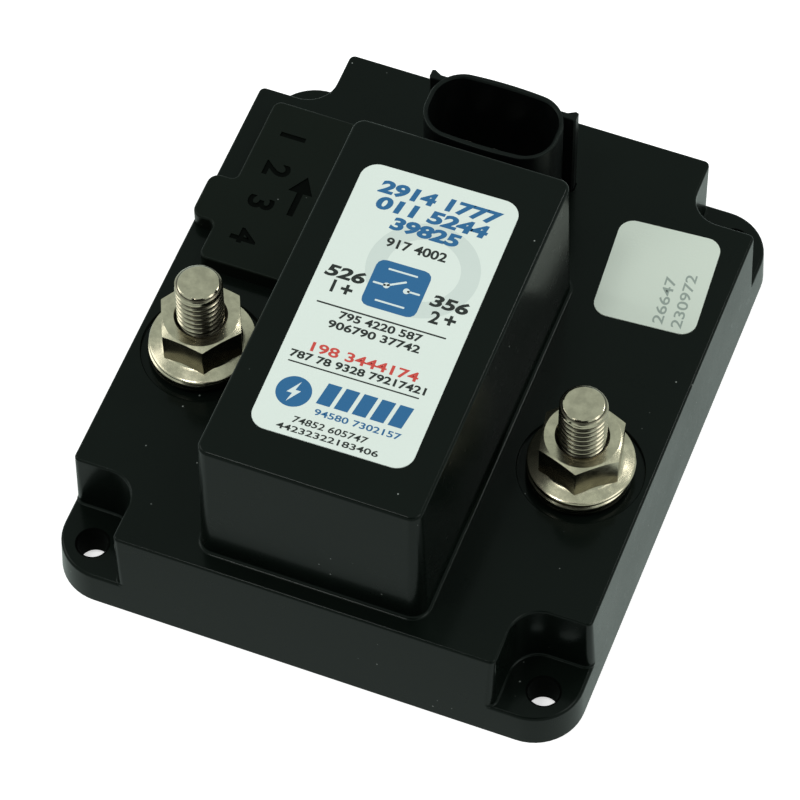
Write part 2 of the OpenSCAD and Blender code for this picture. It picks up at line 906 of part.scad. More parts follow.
module contact_carrier() {
    bar_y = carrier_hole_y + carrier_bar_r - chamber_y;
    color("#3c2f26")
        translate([0, relay_y, 0])
            difference() {
                union() {
                    translate([-carrier_x, -chamber_y - carrier_wall, base_top])
                        cube([2 * carrier_x, 2 * (chamber_y + carrier_wall),
                            under_top - base_top]);
                    translate([-carrier_x, -carrier_y, under_top - carrier_web])
                        cube([2 * carrier_x, 2 * carrier_y, carrier_web]);
                    for (sy = [-1, 1]) {
                        translate([-carrier_hole_x, sy > 0 ? chamber_y : -chamber_y - bar_y,
                            carrier_bar_z])
                            cube([2 * carrier_hole_x, bar_y, carrier_bar_t]);
                        for (sx = [-1, 1])
                            translate([sx * carrier_hole_x, sy * carrier_hole_y, carrier_bar_z])
                                cylinder(h = carrier_bar_t, r = carrier_bar_r);
                    }
                }
                translate([-carrier_x + carrier_wall, -chamber_y, base_top - overrun])
                    cube([2 * (carrier_x - carrier_wall), 2 * chamber_y,
                        under_top - carrier_web - base_top + overrun]);
                translate([-carrier_x - overrun, -busbar_w / 2 - fit_gap, busbar_z])
                    cube([2 * (carrier_x + overrun), busbar_w + 2 * fit_gap, busbar_t]);
                translate([0, 0, under_top - carrier_web - overrun])
                    cylinder(h = carrier_web + 2 * overrun, r = plunger_d / 2 + 2 * loose_gap);
                for (sx = [-1, 1], sy = [-1, 1])
                    translate([sx * carrier_hole_x, sy * carrier_hole_y, base_top])
                        cylinder(h = under_top - base_top, r = screw_r + fit_gap);
            }
}

module relay_screws() {
    color("silver")
        for (sx = [-1, 1], sy = [-1, 1])
            translate([sx * carrier_hole_x, relay_y + sy * carrier_hole_y, 0])
                screw(carrier_bar_z, carrier_bar_t + carrier_boss_h - loose_gap, screw_r,
                    screw_head_r);
}

module contact_bridge() {
    color("#b0693f")
        translate([0, relay_y, bridge_z])
            linear_extrude(bridge_t)
                difference() {
                    rounded_rect(2 * contact_x + contact_d + bridge_t, bridge_w, bridge_t / 2);
                    circle(rod_r + fit_gap);
                }
}

module bridge_contacts() {
    color("#d9d9d6")
        for (side = [-1, 1])
            translate([side * contact_x, relay_y, 0])
                ring(bridge_top, tip_t, contact_d / 2, 0);
}

module contact_spring() {
    color("silver")
        translate([0, relay_y, 0])
            spring(seat_top, bridge_z - seat_top, contact_spring_r, contact_wire_r, contact_turns);
}

module spring_seat() {
    color("silver")
        translate([0, relay_y, 0])
            ring(seat_top - seat_t, seat_t, seat_r, rod_r + contact_clear);
}

module rod_clip() {
    color("#55564f")
        translate([0, relay_y, 0])
            ring(clip_z, clip_t, seat_r - loose_gap, rod_r - clip_groove);
}

module plunger() {
    color("#8b8c88")
        translate([0, relay_y, 0])
            difference() {
                ring(plunger_z, plunger_l, plunger_d / 2, 0);
                ring(plunger_z + plunger_l - return_seat_depth, return_seat_depth + overrun,
                    return_bore_r, 0);
            }
}

module plunger_rod() {
    color("#d8d4c6")
        translate([0, relay_y, 0])
            difference() {
                union() {
                    ring(rod_bottom, plunger_z - rod_bottom, rod_r, 0);
                    ring(bridge_top, rod_collar_t, rod_collar_r, 0);
                }
                ring(clip_z, clip_t, rod_r + overrun, rod_r - clip_groove);
            }
}

module return_spring() {
    color("silver")
        translate([0, relay_y, 0])
            spring(plunger_z + plunger_l - return_seat_depth,
                core_z - plunger_z - plunger_l + 2 * return_seat_depth,
                return_r, return_wire_r, return_turns);
}

module fixed_core() {
    color("#8b8c88")
        translate([0, relay_y, 0])
            difference() {
                union() {
                    ring(core_z, bobbin_top - core_z, plunger_d / 2, 0);
                    ring(core_z, yoke_top - core_z, core_rivet_r, 0);
                }
                ring(core_z - overrun, return_seat_depth + overrun, return_bore_r, 0);
            }
}

module bobbin() {
    color("#e4dfd0")
        translate([0, relay_y, 0]) {
            ring(bobbin_z, bobbin_top - bobbin_z, bobbin_tube_r, bobbin_bore_r);
            for (z = [bobbin_z, bobbin_top - bobbin_flange_t])
                ring(z, bobbin_flange_t, bobbin_d / 2, bobbin_bore_r);
        }
}

module coil_winding() {
    color("#a5572d")
        translate([0, relay_y, 0])
            ring(bobbin_z + bobbin_flange_t, bobbin_top - bobbin_z - 2 * bobbin_flange_t,
                winding_r, bobbin_tube_r);
}

module coil_tape() {
    color("#c7a43a")
        translate([0, relay_y, 0])
            ring(bobbin_z + bobbin_flange_t, bobbin_top - bobbin_z - 2 * bobbin_flange_t,
                winding_r + tape_t, winding_r);
}

module yoke_frame() {
    color("#9a9b97")
        translate([-yoke_w / 2, relay_y, 0])
            difference() {
                translate([0, -leg_y - yoke_t, under_top])
                    cube([yoke_w, 2 * (leg_y + yoke_t), yoke_top - under_top]);
                translate([-overrun, -leg_y, under_top - overrun])
                    cube([yoke_w + 2 * overrun, 2 * leg_y, bobbin_top - under_top + overrun]);
                translate([yoke_w / 2, 0, bobbin_top - overrun])
                    cylinder(h = yoke_t + 2 * overrun, r = core_rivet_r);
            }
}

module yoke_plate() {
    color("#9a9b97")
        translate([0, relay_y, under_top])
            difference() {
                translate([-yoke_w / 2, -leg_y, 0])
                    cube([yoke_w, 2 * leg_y, yoke_plate_t]);
                translate([0, 0, -overrun])
                    cylinder(h = yoke_plate_t + 2 * overrun, r = plunger_d / 2 + loose_gap);
            }
}

module relay_pad() {
    color("#4b4e4b")
        translate([-yoke_w / 2, relay_y - leg_y, yoke_top])
            cube([yoke_w, 2 * leg_y, pad_t]);
}

// From the bobbin's lower flange, past the yoke's leg and down to the board
module coil_leads() {
    y0 = relay_y + sqrt(pow(bobbin_d / 2, 2) - pow(coil_lead_x - lead_r, 2)) + fit_gap;
    z0 = bobbin_z + bobbin_flange_t / 2;
    y1 = board_front + 2.5 * lead_r;
    color("#a03a30")
        for (side = [-1, 1])
            lead(side * coil_lead_x, [[y0, z0], [(y0 + y1) / 2, z0], [y1 - 5 * lead_r, z0 - lead_r],
                [y1 - lead_r, (z0 + board_top) / 2], [y1, board_top + 2 * lead_r], [y1, board_top]]);
}

// From each busbar's pad to the board
module sense_leads() {
    y0 = relay_y + sqrt(pow(busbar_pad_r, 2) - pow(stud_x - sense_lead_x - lead_r, 2)) + fit_gap;
    z0 = busbar_z + busbar_t / 2;
    y1 = board_front + 2.5 * lead_r;
    color("#c9c3a2")
        for (side = [-1, 1])
            lead(side * sense_lead_x, [[y0, z0], [(y0 + y1) / 2, z0 + lead_r],
                [y1 - 4 * lead_r, z0 + lead_r], [y1 - lead_r, z0], [y1, board_top + lead_r],
                [y1, board_top]]);
}

housing();
base_plate();
base_gasket();
base_screws();
circuit_board();
board_screws();
board_chips();
board_capacitors();
dip_switch_body();
dip_slider(1);  // dip_slider_1
dip_slider(2);  // dip_slider_2
dip_slider(3);  // dip_slider_3
dip_slider(4);  // dip_slider_4
dip_cover();
dip_cover_seal();
connector_header();
connector_pins();
connector_seal();
status_led();
light_pipe();
status_label();
main_label();
terminal_stud(-1);  // terminal_stud_1
terminal_stud(1);  // terminal_stud_2
terminal_collar(-1);  // terminal_collar_1
terminal_collar(1);  // terminal_collar_2
terminal_seal(-1);  // terminal_seal_1
terminal_seal(1);  // terminal_seal_2
terminal_washer(-1);  // terminal_washer_1
terminal_washer(1);  // terminal_washer_2
terminal_nut(-1, nut_turn_1);  // terminal_nut_1
terminal_nut(1, nut_turn_2);  // terminal_nut_2
busbar(-1);  // busbar_1
busbar(1);  // busbar_2
fixed_contact(-1);  // fixed_contact_1
fixed_contact(1);  // fixed_contact_2
contact_carrier();
relay_screws();
contact_bridge();
bridge_contacts();
contact_spring();
spring_seat();
rod_clip();
plunger();
plunger_rod();
return_spring();
fixed_core();
bobbin();
coil_winding();
coil_tape();
yoke_frame();
yoke_plate();
relay_pad();
coil_leads();
sense_leads();
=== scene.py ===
"""Looks of a battery isolator relay with two stud terminals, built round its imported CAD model.

Lengths in the helpers are in millimetres; meshes are made in metres, in the CAD frame.
"""
import json
import math
import random
from functools import cached_property

import bmesh
import bpy
from mathutils import Matrix, Vector

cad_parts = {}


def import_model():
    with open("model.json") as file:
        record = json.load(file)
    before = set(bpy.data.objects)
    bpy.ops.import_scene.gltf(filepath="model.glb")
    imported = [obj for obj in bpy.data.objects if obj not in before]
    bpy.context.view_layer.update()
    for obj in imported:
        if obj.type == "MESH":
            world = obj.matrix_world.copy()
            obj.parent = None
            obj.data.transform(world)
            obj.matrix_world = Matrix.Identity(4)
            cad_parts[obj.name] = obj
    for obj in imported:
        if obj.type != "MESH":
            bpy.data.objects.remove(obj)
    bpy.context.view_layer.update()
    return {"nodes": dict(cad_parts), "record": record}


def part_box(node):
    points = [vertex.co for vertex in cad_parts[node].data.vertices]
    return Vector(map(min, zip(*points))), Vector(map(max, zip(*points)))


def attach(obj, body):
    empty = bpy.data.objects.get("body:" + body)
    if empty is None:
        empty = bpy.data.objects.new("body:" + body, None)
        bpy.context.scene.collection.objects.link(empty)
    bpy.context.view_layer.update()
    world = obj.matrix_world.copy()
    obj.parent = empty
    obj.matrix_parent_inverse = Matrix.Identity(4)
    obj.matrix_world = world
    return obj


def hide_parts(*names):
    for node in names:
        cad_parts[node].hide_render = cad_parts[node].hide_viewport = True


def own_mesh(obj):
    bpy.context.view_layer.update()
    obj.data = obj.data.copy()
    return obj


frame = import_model()

MM = 0.001
OVERRUN = 1.0

# Body and ears
BODY_W, BODY_L, BODY_H, WALL = 90.0, 106.0, 20.4, 3.0
NOTCH, NOTCH_IN_R, NOTCH_OUT_R = 12.0, 5.2, 1.0
EAR_H, EAR_R, EAR_INSET, EAR_HOLE_R = 7.2, 7.8, 5.4, 2.6
DRAFT, NOTCH_FOOT = 0.9, 0.5
UNDER_TOP = BODY_H - WALL
BASE_TOP, LEDGE_Z, REBATE = 2.2, 3.0, 1.2
BODY_EDGE, EAR_EDGE, SEAM = 0.42, 0.55, 0.01

# Tower
TOWER_W, TOWER_L, TOWER_Y, TOWER_TOP = 37.6, 69.8, -14.1, 48.8
TOWER_R, TOWER_DRAFT, TOWER_WALL, TOWER_EDGE, TOWER_FOOT = 2.0, 0.7, 2.5, 0.6, 0.7

# Terminals
STUD_X, STUD_Y, STUD_TOP, NUT_TOP, WASHER_TOP, COLLAR_TOP = 33.3, -13.4, 39.5, 30.3, 22.3, 20.7
STUD_R, STUD_ROOT_R, STUD_CORE_R, PITCH = 4.0, 3.26, 3.8, 1.25
STUD_END_R, STUD_END_SLOPE, PLAIN_END, END_FADE, START_FADE = 3.2, 1.3, 1.05, 0.3, 0.4
NUT_AF, NUT_H, FLANGE_R, NUT_BORE_R, NUT_SOFT = 13.0, 8.0, 8.95, 4.05, 0.25
NUT_CONE = ((8.6, 0.0), (8.6, NUT_H - 0.74), (6.3, NUT_H - 0.05), (6.15, NUT_H))
NUT_FLANGE = ((7.7, 0.0), (8.3, 0.12), (8.75, 0.45), (FLANGE_R, 0.72), (FLANGE_R, 0.92), (8.85, 1.1),
              (8.6, 1.22), (7.2, 1.62), (6.75, 1.8), (6.4, 2.2))
STUD_HEAD_Z, STUD_HEAD_H, STUD_HEAD_R = 8.93, 4.5, 7.506
RECESS_R, RECESS_T, COLLAR_HOLE_R = 10.5, 0.6, 6.65
WASHER_R, WASHER_HOLE_R = 9.0, 4.15

# Cover of the setting switches
COVER = (-40.5, -20.7, 1.8, 36.9)
TAB = (-45.0, 9.335, 18.835)
COVER_TOP, COVER_R, TAB_R, TAB_FILLET, COVER_EDGE = 23.6, 1.5, 2.0, 1.2, 0.45
WINDOW_X, WINDOW_Y, WINDOW_W, WINDOW_L = -30.6, 19.33, 11.0, 13.06

# Connector
SHROUD_W, SHROUD_L, SHROUD_R, SHROUD_Y, SHROUD_TOP = 22.9, 12.6, 5.2, 34.7, 40.5
SHROUD_WALL, SOCKET_FLOOR, BOARD_TOP, FIN_Y, FIN_T, FIN_REACH = 0.75, 22.5, 12.4, 39.3, 1.2, 1.6
SHROUD_BOW, SOCKET_BOW, SHROUD_SWELL, SHROUD_STEPS = 0.95, 0.65, 0.5, 14
PIN_STEP_X, PIN_STEP_Y, PIN_HOLE_W, PIN_HOLE_L = 5.5, 4.2, 1.6, 0.9

# Screw posts inside
BASE_POST, RELAY_POST, BOARD_POSTS = (37.5, 34.5), (24.0, 12.5), ((38.0, 11.8), (25.6, 45.6))
POST_R, POST_HOLE_R, BOARD_POST_R, BOARD_HOLE_R, RELAY_POST_L = 3.0, 1.45, 2.5, 1.25, 3.0

# Labels
LABEL_TURN, LABEL_W, LABEL_L, LABEL_R = 1.0, 27.1, 54.4, 3.0
STATUS_X, STATUS_Y, STATUS_TURN, STATUS_W, STATUS_L, STATUS_R = 32.4, 27.0, 4.0, 17.7, 20.3, 2.7
FILM_T, INK_T, SUNK = 0.17, 0.012, 0.01
LABEL_FACE, STATUS_FACE = TOWER_TOP + FILM_T, BODY_H + FILM_T

# Stage: lamps and card in metres, camera in degrees and millimetres
MIRRORED_WHITE, LAMP_WHITE, WORLD_LIGHT = (0.85, 1.0, 0.93, 1), (0.97, 1.0, 0.97), 0.36
LAMPS = (("left_softbox", (-0.55, -0.05, 0.42), (0.3, 0.45), 1.3),
         ("right_softbox", (0.5, 0.02, 0.6), (0.3, 0.4), 1.3),
         ("top_softbox", (0.0, -0.28, 0.72), (0.6, 0.4), 0.6),
         ("front_edge_light", (-0.108, -0.162, 0.502), (0.08, 0.08), 0.4),
         ("side_edge_light", (0.16, 0.27, 0.44), (0.08, 0.08), 0.35))
LAMP_AIM, CARD_TOWARD, CARD_AWAY = (0, 0, 0.02), (0.12, -0.53, 0.8336), 0.56
CAMERA_YAW, CAMERA_PITCH, CAMERA_ROLL = -21.814, 56.466, 0.876
CAMERA_RIGHT, CAMERA_DOWN, CAMERA_BACK = 3.416, 2.145, 744.919
SENSOR_W, FOCAL_LENGTH, CARD_R, FLOOR_HALF = 36, 197.086, 225, 3000


# ---------------- meshes

def arc(cx, cy, r, start, end, steps=7):
    """Points of an arc from one angle to another, in degrees."""
    turns = [math.radians(start + (end - start) * i / steps) for i in range(steps + 1)]
    return [(cx + r * math.cos(a), cy + r * math.sin(a)) for a in turns]


def four_corners(corner):
    """Whole outline from its first quarter, mirrored round the middle."""
    left = [(-x, y) for x, y in reversed(corner)]
    back = [(-x, -y) for x, y in corner]
    right = [(x, -y) for x, y in reversed(corner)]
    return corner + left + back + right


def body_outline(inset=0.0, flare=0.0):
    """Plan of the body between its ear notches; flare moves the notch walls alone outwards."""
    outer, inner = max(NOTCH_OUT_R - inset, 0.02), NOTCH_IN_R + inset - flare
    x, y = BODY_W / 2 - inset, BODY_L / 2 - inset
    nx, ny = x - NOTCH + flare, y - NOTCH + flare
    return four_corners(arc(x - outer, ny - outer, outer, 0, 90, 5)
                        + arc(nx + inner, ny + inner, inner, 270, 180, 9)
                        + arc(nx - outer, y - outer, outer, 0, 90, 5))


def turned(cx, cy, turn):
    """Maker of places from places round a middle, turned by an angle in degrees."""
    c, s = math.cos(math.radians(turn)), math.sin(math.radians(turn))
    return lambda u, v: (cx + c * u - s * v, cy + s * u + c * v)


def round_rect(w, l, r, cx=0.0, cy=0.0, turn=0.0, steps=8):
    """Outline maker of a rectangle with round corners."""
    place = turned(cx, cy, turn)

    def outline(inset=0.0):
        radius = max(r - inset, 0.02)
        corner = arc(w / 2 - inset - radius, l / 2 - inset - radius, radius, 0, 90, steps)
        return [place(x, y) for x, y in four_corners(corner)]
    return outline


def bowed(plan, bow, half, cy, parts=10):
    """Outline maker that lets the long sides of a plan swell towards their middle."""
    def outline(inset=0.0):
        points, dense = plan(inset), []
        for (ax, ay), (bx, by) in zip(points, points[1:] + points[:1]):
            count = parts if abs(ay - by) < 1e-9 and abs(bx - ax) > half / 2 else 1
            dense += [(ax + (bx - ax) * k / count, ay + (by - ay) * k / count) for k in range(count)]
        return [(x, y + math.copysign(bow * max(1 - (x / half) ** 2, 0), y - cy)) for x, y in dense]
    return outline


def circle(r, cx=0.0, cy=0.0, steps=64):
    """Outline maker of a circle."""
    def outline(inset=0.0):
        return arc(cx, cy, r - inset, 0, 360, steps)[:-1]
    return outline


def cover_outline(inset=0.0):
    """Plan of the switch cover with its finger tab over the body's left side."""
    x0, x1, y0, y1 = COVER[0] + inset, COVER[1] - inset, COVER[2] + inset, COVER[3] - inset
    tx, t0, t1 = TAB[0] + inset, TAB[1] + inset, TAB[2] - inset
    r, tr, f = COVER_R - inset, TAB_R - inset, TAB_FILLET + inset
    return (arc(x1 - r, y0 + r, r, 270, 360) + arc(x1 - r, y1 - r, r, 0, 90)
            + arc(x0 + r, y1 - r, r, 90, 180) + arc(x0 - f, t1 + f, f, 360, 270)
            + arc(tx + tr, t1 - tr, tr, 90, 180) + arc(tx + tr, t0 + tr, tr, 180, 270)
            + arc(x0 - f, t0 - f, f, 90, 0) + arc(x0 + r, y0 + r, r, 180, 270))


def edge_levels(z0, z1, low=0.0, high=0.0, steps=5):
    """Insets and heights of a wall from z0 to z1 with its lower and upper edges rounded."""
    turns = [math.pi / 2 * i / steps for i in range(steps + 1)]
    below, above = [(0, z0)], [(0, z1)]
    if low:
        below = [(low * (1 - math.sin(a)), z0 + low * (1 - math.cos(a))) for a in turns]
    if high:
        above = [(high * (1 - math.cos(a)), z1 - high * (1 - math.sin(a))) for a in turns]
    return below + above


def drafted(levels):
    """The same insets on a body side, which stands further out the lower it is."""
    return [(inset - DRAFT * (1 - z / BODY_H), z) for inset, z in levels]


def hole_levels(z0, z1, mouth=0.15):
    """Insets and heights of a cutter whose upper end z1 is the part's face, widened there."""
    return [(0, z0), (0, z1 - mouth), (-mouth, z1), (-mouth, z1 + OVERRUN)]


def loft(rings):
    """Closed mesh data through rings of equal count, from the lowest to the highest."""
    n = len(rings[0])
    points = [p for ring in rings for p in ring]
    faces = [(i * n + k, i * n + (k + 1) % n, (i + 1) * n + (k + 1) % n, (i + 1) * n + k)
             for i in range(len(rings) - 1) for k in range(n)]
    faces.append(tuple(reversed(range(n))))
    faces.append(tuple(range((len(rings) - 1) * n, len(rings) * n)))
    return points, faces


def prism(outline, levels):
    """Closed mesh data of one outline at several insets and heights."""
    return loft([[(x, y, z) for x, y in outline(inset)] for inset, z in levels])


def lathe(profile, cx=0.0, cy=0.0, steps=96):
    """Closed mesh data of a profile of (radius, z), from the axis upwards and back to it."""
    rings = [[(cx + r * math.cos(2 * math.pi * k / steps), cy + r * math.sin(2 * math.pi * k / steps), z)
              for k in range(steps)] for r, z in profile]
    return loft(rings)


def ring_solid(loop, cx=0.0, cy=0.0, steps=96):
    """Closed mesh data of a ring whose section is a loop of (radius, z) points."""
    n = len(loop)
    points = [(cx + r * math.cos(2 * math.pi * k / steps), cy + r * math.sin(2 * math.pi * k / steps), z)
              for k in range(steps) for r, z in loop]
    faces = [(k * n + i, (k + 1) % steps * n + i, (k + 1) % steps * n + (i + 1) % n, k * n + (i + 1) % n)
             for k in range(steps) for i in range(n)]
    return points, faces


def in_scene(name, data):
    """Object of the given data, in the scene."""
    obj = bpy.data.objects.new(name, data)
    bpy.context.scene.collection.objects.link(obj)
    return obj


def standing(x, y, z=0.0, turn=0.0):
    """Matrix that turns a mesh about its own upright and moves it to a place in millimetres."""
    return Matrix.Translation((x * MM, y * MM, z * MM)) @ Matrix.Rotation(math.radians(turn), 4, "Z")


def raw_object(data, name="tool"):
    """Object in the scene from mesh data in millimetres."""
    points, faces = data
    mesh = bpy.data.meshes.new(name)
    mesh.from_pydata([(x * MM, y * MM, z * MM) for x, y, z in points], [], faces)
    clean(mesh)
    return in_scene(name, mesh)


def clean(mesh, merge=0.002):
    """Joins points that lie on each other and turns the faces outwards."""
    work = bmesh.new()
    work.from_mesh(mesh)
    bmesh.ops.remove_doubles(work, verts=work.verts, dist=merge * MM)
    bmesh.ops.dissolve_degenerate(work, edges=work.edges, dist=merge * MM / 4)
    bmesh.ops.recalc_face_normals(work, faces=work.faces)
    work.to_mesh(mesh)
    work.free()


def combine(obj, tools, operation):
    """Applies one boolean after another to obj, again with the exact solver if nothing changed."""
    for tool in tools:
        before = len(obj.data.polygons)
        for solver in ("MANIFOLD", "EXACT"):
            step = obj.modifiers.new(operation, "BOOLEAN")
            step.operation, step.object, step.solver = operation, tool, solver
            shape = obj.evaluated_get(bpy.context.evaluated_depsgraph_get())
            result = bpy.data.meshes.new_from_object(shape)
            obj.modifiers.clear()
            if len(result.polygons) and len(result.polygons) != before:
                break
        obj.data = result
        bpy.data.objects.remove(tool)


def add(obj, *parts):
    """Unites an object with pieces of mesh data."""
    combine(obj, [raw_object(p) for p in parts], "UNION")


def cut(obj, *parts):
    """Cuts pieces of mesh data out of an object."""
    combine(obj, [raw_object(p) for p in parts], "DIFFERENCE")


def finish_piece(obj, name, material, body="root", nodes=(), sharp=32.0):
    """Names, shades and places a piece, and says which body carries it and what it replaces."""
    obj.name = name
    obj.data.name = name
    obj.data.materials.clear()
    obj.data.materials.append(MATERIALS[material])
    obj.data.shade_smooth()
    obj.data.set_sharp_from_angle(angle=math.radians(sharp))
    even = obj.modifiers.new("even", "WEIGHTED_NORMAL")
    even.keep_sharp = True
    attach(obj, body)
    if nodes:
        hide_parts(*nodes)


def merged(parts):
    """One object from several pieces of mesh data that stay separate shells."""
    points, faces = [], []
    for part_points, part_faces in parts:
        faces += [tuple(i + len(points) for i in face) for face in part_faces]
        points += part_points
    return raw_object((points, faces))


def join(objects):
    """One object from several mesh objects, which are removed."""
    work = bmesh.new()
    for obj in objects:
        work.from_mesh(obj.data)
        bpy.data.objects.remove(obj)
    mesh = bpy.data.meshes.new("joined")
    work.to_mesh(mesh)
    work.free()
    return in_scene("joined", mesh)


# ---------------- shader maths

class Wire:
    """A socket's output that takes part in plain arithmetic."""

    def __init__(self, net, socket):
        self.net, self.socket = net, socket

    def maths(self, operation, *others):
        """One Math node with this value and the others."""
        return self.net.node("ShaderNodeMath", {"operation": operation}, dict(enumerate((self,) + others)))

    def __add__(self, other): return self.maths("ADD", other)
    def __radd__(self, other): return self.maths("ADD", other)
    def __mul__(self, other): return self.maths("MULTIPLY", other)
    def __rmul__(self, other): return self.maths("MULTIPLY", other)
    def __sub__(self, other): return self.maths("SUBTRACT", other)
    def __rsub__(self, other): return self * -1 + other
    def __gt__(self, other): return self.maths("GREATER_THAN", other)
    def __lt__(self, other): return self.maths("LESS_THAN", other)


class Net:
    """The nodes of one material or world."""

    def __init__(self, name, world=False):
        self.owner = (bpy.data.worlds if world else bpy.data.materials).new(name)
        self.owner.use_nodes = True
        self.tree = self.owner.node_tree
        self.tree.nodes.clear()
        self.end = "ShaderNodeOutputWorld" if world else "ShaderNodeOutputMaterial"

    @cached_property
    def place(self):
        """Place in the object."""
        return self.node("ShaderNodeTexCoord", output="Object")

    def node(self, kind, settings=None, inputs=None, output=0):
        """Any node: its settings first, then the values or links of its sockets."""
        made = self.tree.nodes.new(kind)
        for key, value in (settings or {}).items():
            if key == "stops":
                ramp = made.color_ramp
                while len(ramp.elements) < len(value):
                    ramp.elements.new(0.5)
                for element, (position, level) in zip(ramp.elements, value):
                    element.position = position
                    element.color = (level, level, level, 1)
            else:
                setattr(made, key, value)
        for key, value in (inputs or {}).items():
            socket = made.inputs[key]
            if isinstance(value, Wire):
                self.tree.links.new(value.socket, socket)
            else:
                socket.default_value = value
        return Wire(self, made.outputs[output])

    def noise(self, size, detail=2.0, roughness=0.5):
        """Cloudy noise with blotches of about the given size in millimetres."""
        return self.node("ShaderNodeTexNoise", {}, {
            "Vector": self.place, "Scale": 1 / (size * MM), "Detail": detail, "Roughness": roughness})

    def ray(self, kind):
        """Whether light is looked up along a kind of ray."""
        return self.node("ShaderNodeLightPath", output=f"Is {kind} Ray")

    def ramp(self, value, *stops):
        """Level of a value through stops of (position, level)."""
        return self.node("ShaderNodeValToRGB", {"stops": stops}, {"Fac": value})

    def mix(self, factor, first, second):
        """Colour between two others."""
        return self.node("ShaderNodeMix", {"data_type": "RGBA"}, {0: factor, 6: first, 7: second}, 2)

    def axis(self, name):
        """One coordinate of the place in the object, in millimetres."""
        parts = self.node("ShaderNodeSeparateXYZ", {}, {0: self.place}, name)
        return parts * (1 / MM)

    def radius(self, x, y):
        """Distance in millimetres from the upright line through x, y or its mirror images."""
        across = self.axis("X").maths("ABSOLUTE") - x
        along = self.axis("Y").maths("ABSOLUTE") - abs(y)
        return (across * across + along * along).maths("SQRT")

    def bump(self, height, depth):
        """Normal of a height that swings by depth millimetres."""
        return self.node("ShaderNodeBump", {}, {"Height": height, "Distance": depth * MM, "Strength": 1.0})

    def surface(self, shader):
        """Ends the nodes in a shader and returns what they belong to."""
        self.tree.links.new(shader.socket, self.tree.nodes.new(self.end).inputs["Surface"])
        return self.owner

    def done(self, colour, rough, normal=None, **constants):
        """Ends a material in one Principled shader."""
        inputs = {"Base Color": colour, "Roughness": rough}
        if normal:
            inputs["Normal"] = normal
        inputs.update({key.replace("_", " "): value for key, value in constants.items()})
        return self.surface(self.node("ShaderNodeBsdfPrincipled", {}, inputs))


def rgb(text):
    """Linear colour of a hex value."""
    levels = [int(text[i:i + 2], 16) / 255 for i in (1, 3, 5)]
    return tuple(v / 12.92 if v <= 0.04045 else ((v + 0.055) / 1.055) ** 2.4 for v in levels) + (1,)


def shade(colour, share):
    """The colour made darker or paler by a share."""
    return tuple(min(share * c, 1) for c in colour[:3]) + (1,)


def moulded_plastic(name, colour, rough=0.42, specular=0.1, grain=0.35, depth=0.006, dust=0.0, shade_in_holes=False,
                    skin=0.0):
    """Moulded plastic: fine grain, flow marks, scuffs, dust, screw holes with painted shade and a duller
    face, and a glossy moulding skin.
    """
    net = Net(name)
    flow, fine, scuff = net.noise(14, 3), net.noise(grain, 2), net.noise(2.2, 6, 0.7)
    marks = net.ramp(scuff, (0.56, 0), (0.7, 1))
    base = net.mix(flow, shade(colour, 0.85), shade(colour, 1.18))
    level = rough + 0.12 * (flow - 0.5) + 0.1 * (fine - 0.5) - 0.05 * marks
    if dust:
        cells = net.node("ShaderNodeTexVoronoi", {"feature": "F1"},
                         {"Vector": net.place, "Scale": 1 / (3.1 * MM)})
        speck = net.ramp(cells, (0.035, 1), (0.05, 0)) * net.ramp(net.noise(19, 2), (0.5, 0), (0.6, 1))
        base = net.mix(speck * dust, base, (0.3, 0.33, 0.31, 1))
        level = level + 0.4 * speck
    if shade_in_holes:
        # Painted shade: inside the ear holes the colour goes almost black, the face rougher and without its
        # skin.
        reach = net.radius(BODY_W / 2 - EAR_INSET, BODY_L / 2 - EAR_INSET)
        inside = reach < EAR_HOLE_R + 0.35
        level = level + 0.6 * inside
        base = net.mix(inside, base, (0.0006, 0.0007, 0.0006, 1))
        skin = skin * (1 - inside)
    return net.done(base, level, net.bump(fine, depth), Specular_IOR_Level=specular,
                    Specular_Tint=(0.85, 1.0, 0.9, 1), Coat_Weight=skin, Coat_Roughness=0.13)


def worked_metal(name, colour, rough=0.24, depth=0.004, tarnish=0.25, painted_shade=None):
    """Machined or plated metal: fine marks, cloudy tarnish, and painted shade inside a radius round each
    stud's axis.
    """
    net = Net(name)
    cloud, marks = net.noise(1.9, 4, 0.6), net.noise(0.22, 3, 0.6)
    base = net.mix(net.ramp(cloud, (0.38, 0), (0.66, 1)), shade(colour, 1 - tarnish), colour)
    level = rough + 0.16 * (cloud - 0.5) + 0.14 * (marks - 0.5)
    # Painted shade: near the stud's axis, in the thread roots and the nut's bore, the colour goes almost
    # black and the face rougher.
    if painted_shade:
        near, far, end = painted_shade
        outwards = (net.radius(STUD_X, STUD_Y) - near) * (1 / (far - near))
        unshaded_part = net.ramp(outwards, (0.0, 0), (1.0, 1)).maths("MAXIMUM", net.axis("Z") > end)
        base = net.mix(unshaded_part, shade(colour, 0.04), base)
        level = level + 0.35 * (1 - unshaded_part)
    return net.done(base, level, net.bump(marks, depth), Metallic=1.0)


def rubber(name, colour):
    """Soft seal rubber with a dry, powdery face."""
    net = Net(name)
    fine, cloud = net.noise(0.25, 3), net.noise(5, 3)
    base = net.mix(cloud, shade(colour, 0.8), colour)
    return net.done(base, 0.75 + 0.15 * (fine - 0.5), net.bump(fine, 0.01), Specular_IOR_Level=0.25)


def label_film(name, colour):
    """Printed film with a shallow leathery texture, as pressed on vinyl."""
    net = Net(name)
    pebble, cloud = net.noise(0.42, 2, 0.5), net.noise(9, 3)
    base = net.mix(cloud, shade(colour, 0.965), colour)
    return net.done(base, 0.32 + 0.14 * (cloud - 0.5) + 0.1 * (pebble - 0.5), net.bump(pebble, 0.02),
                    Specular_IOR_Level=0.35)


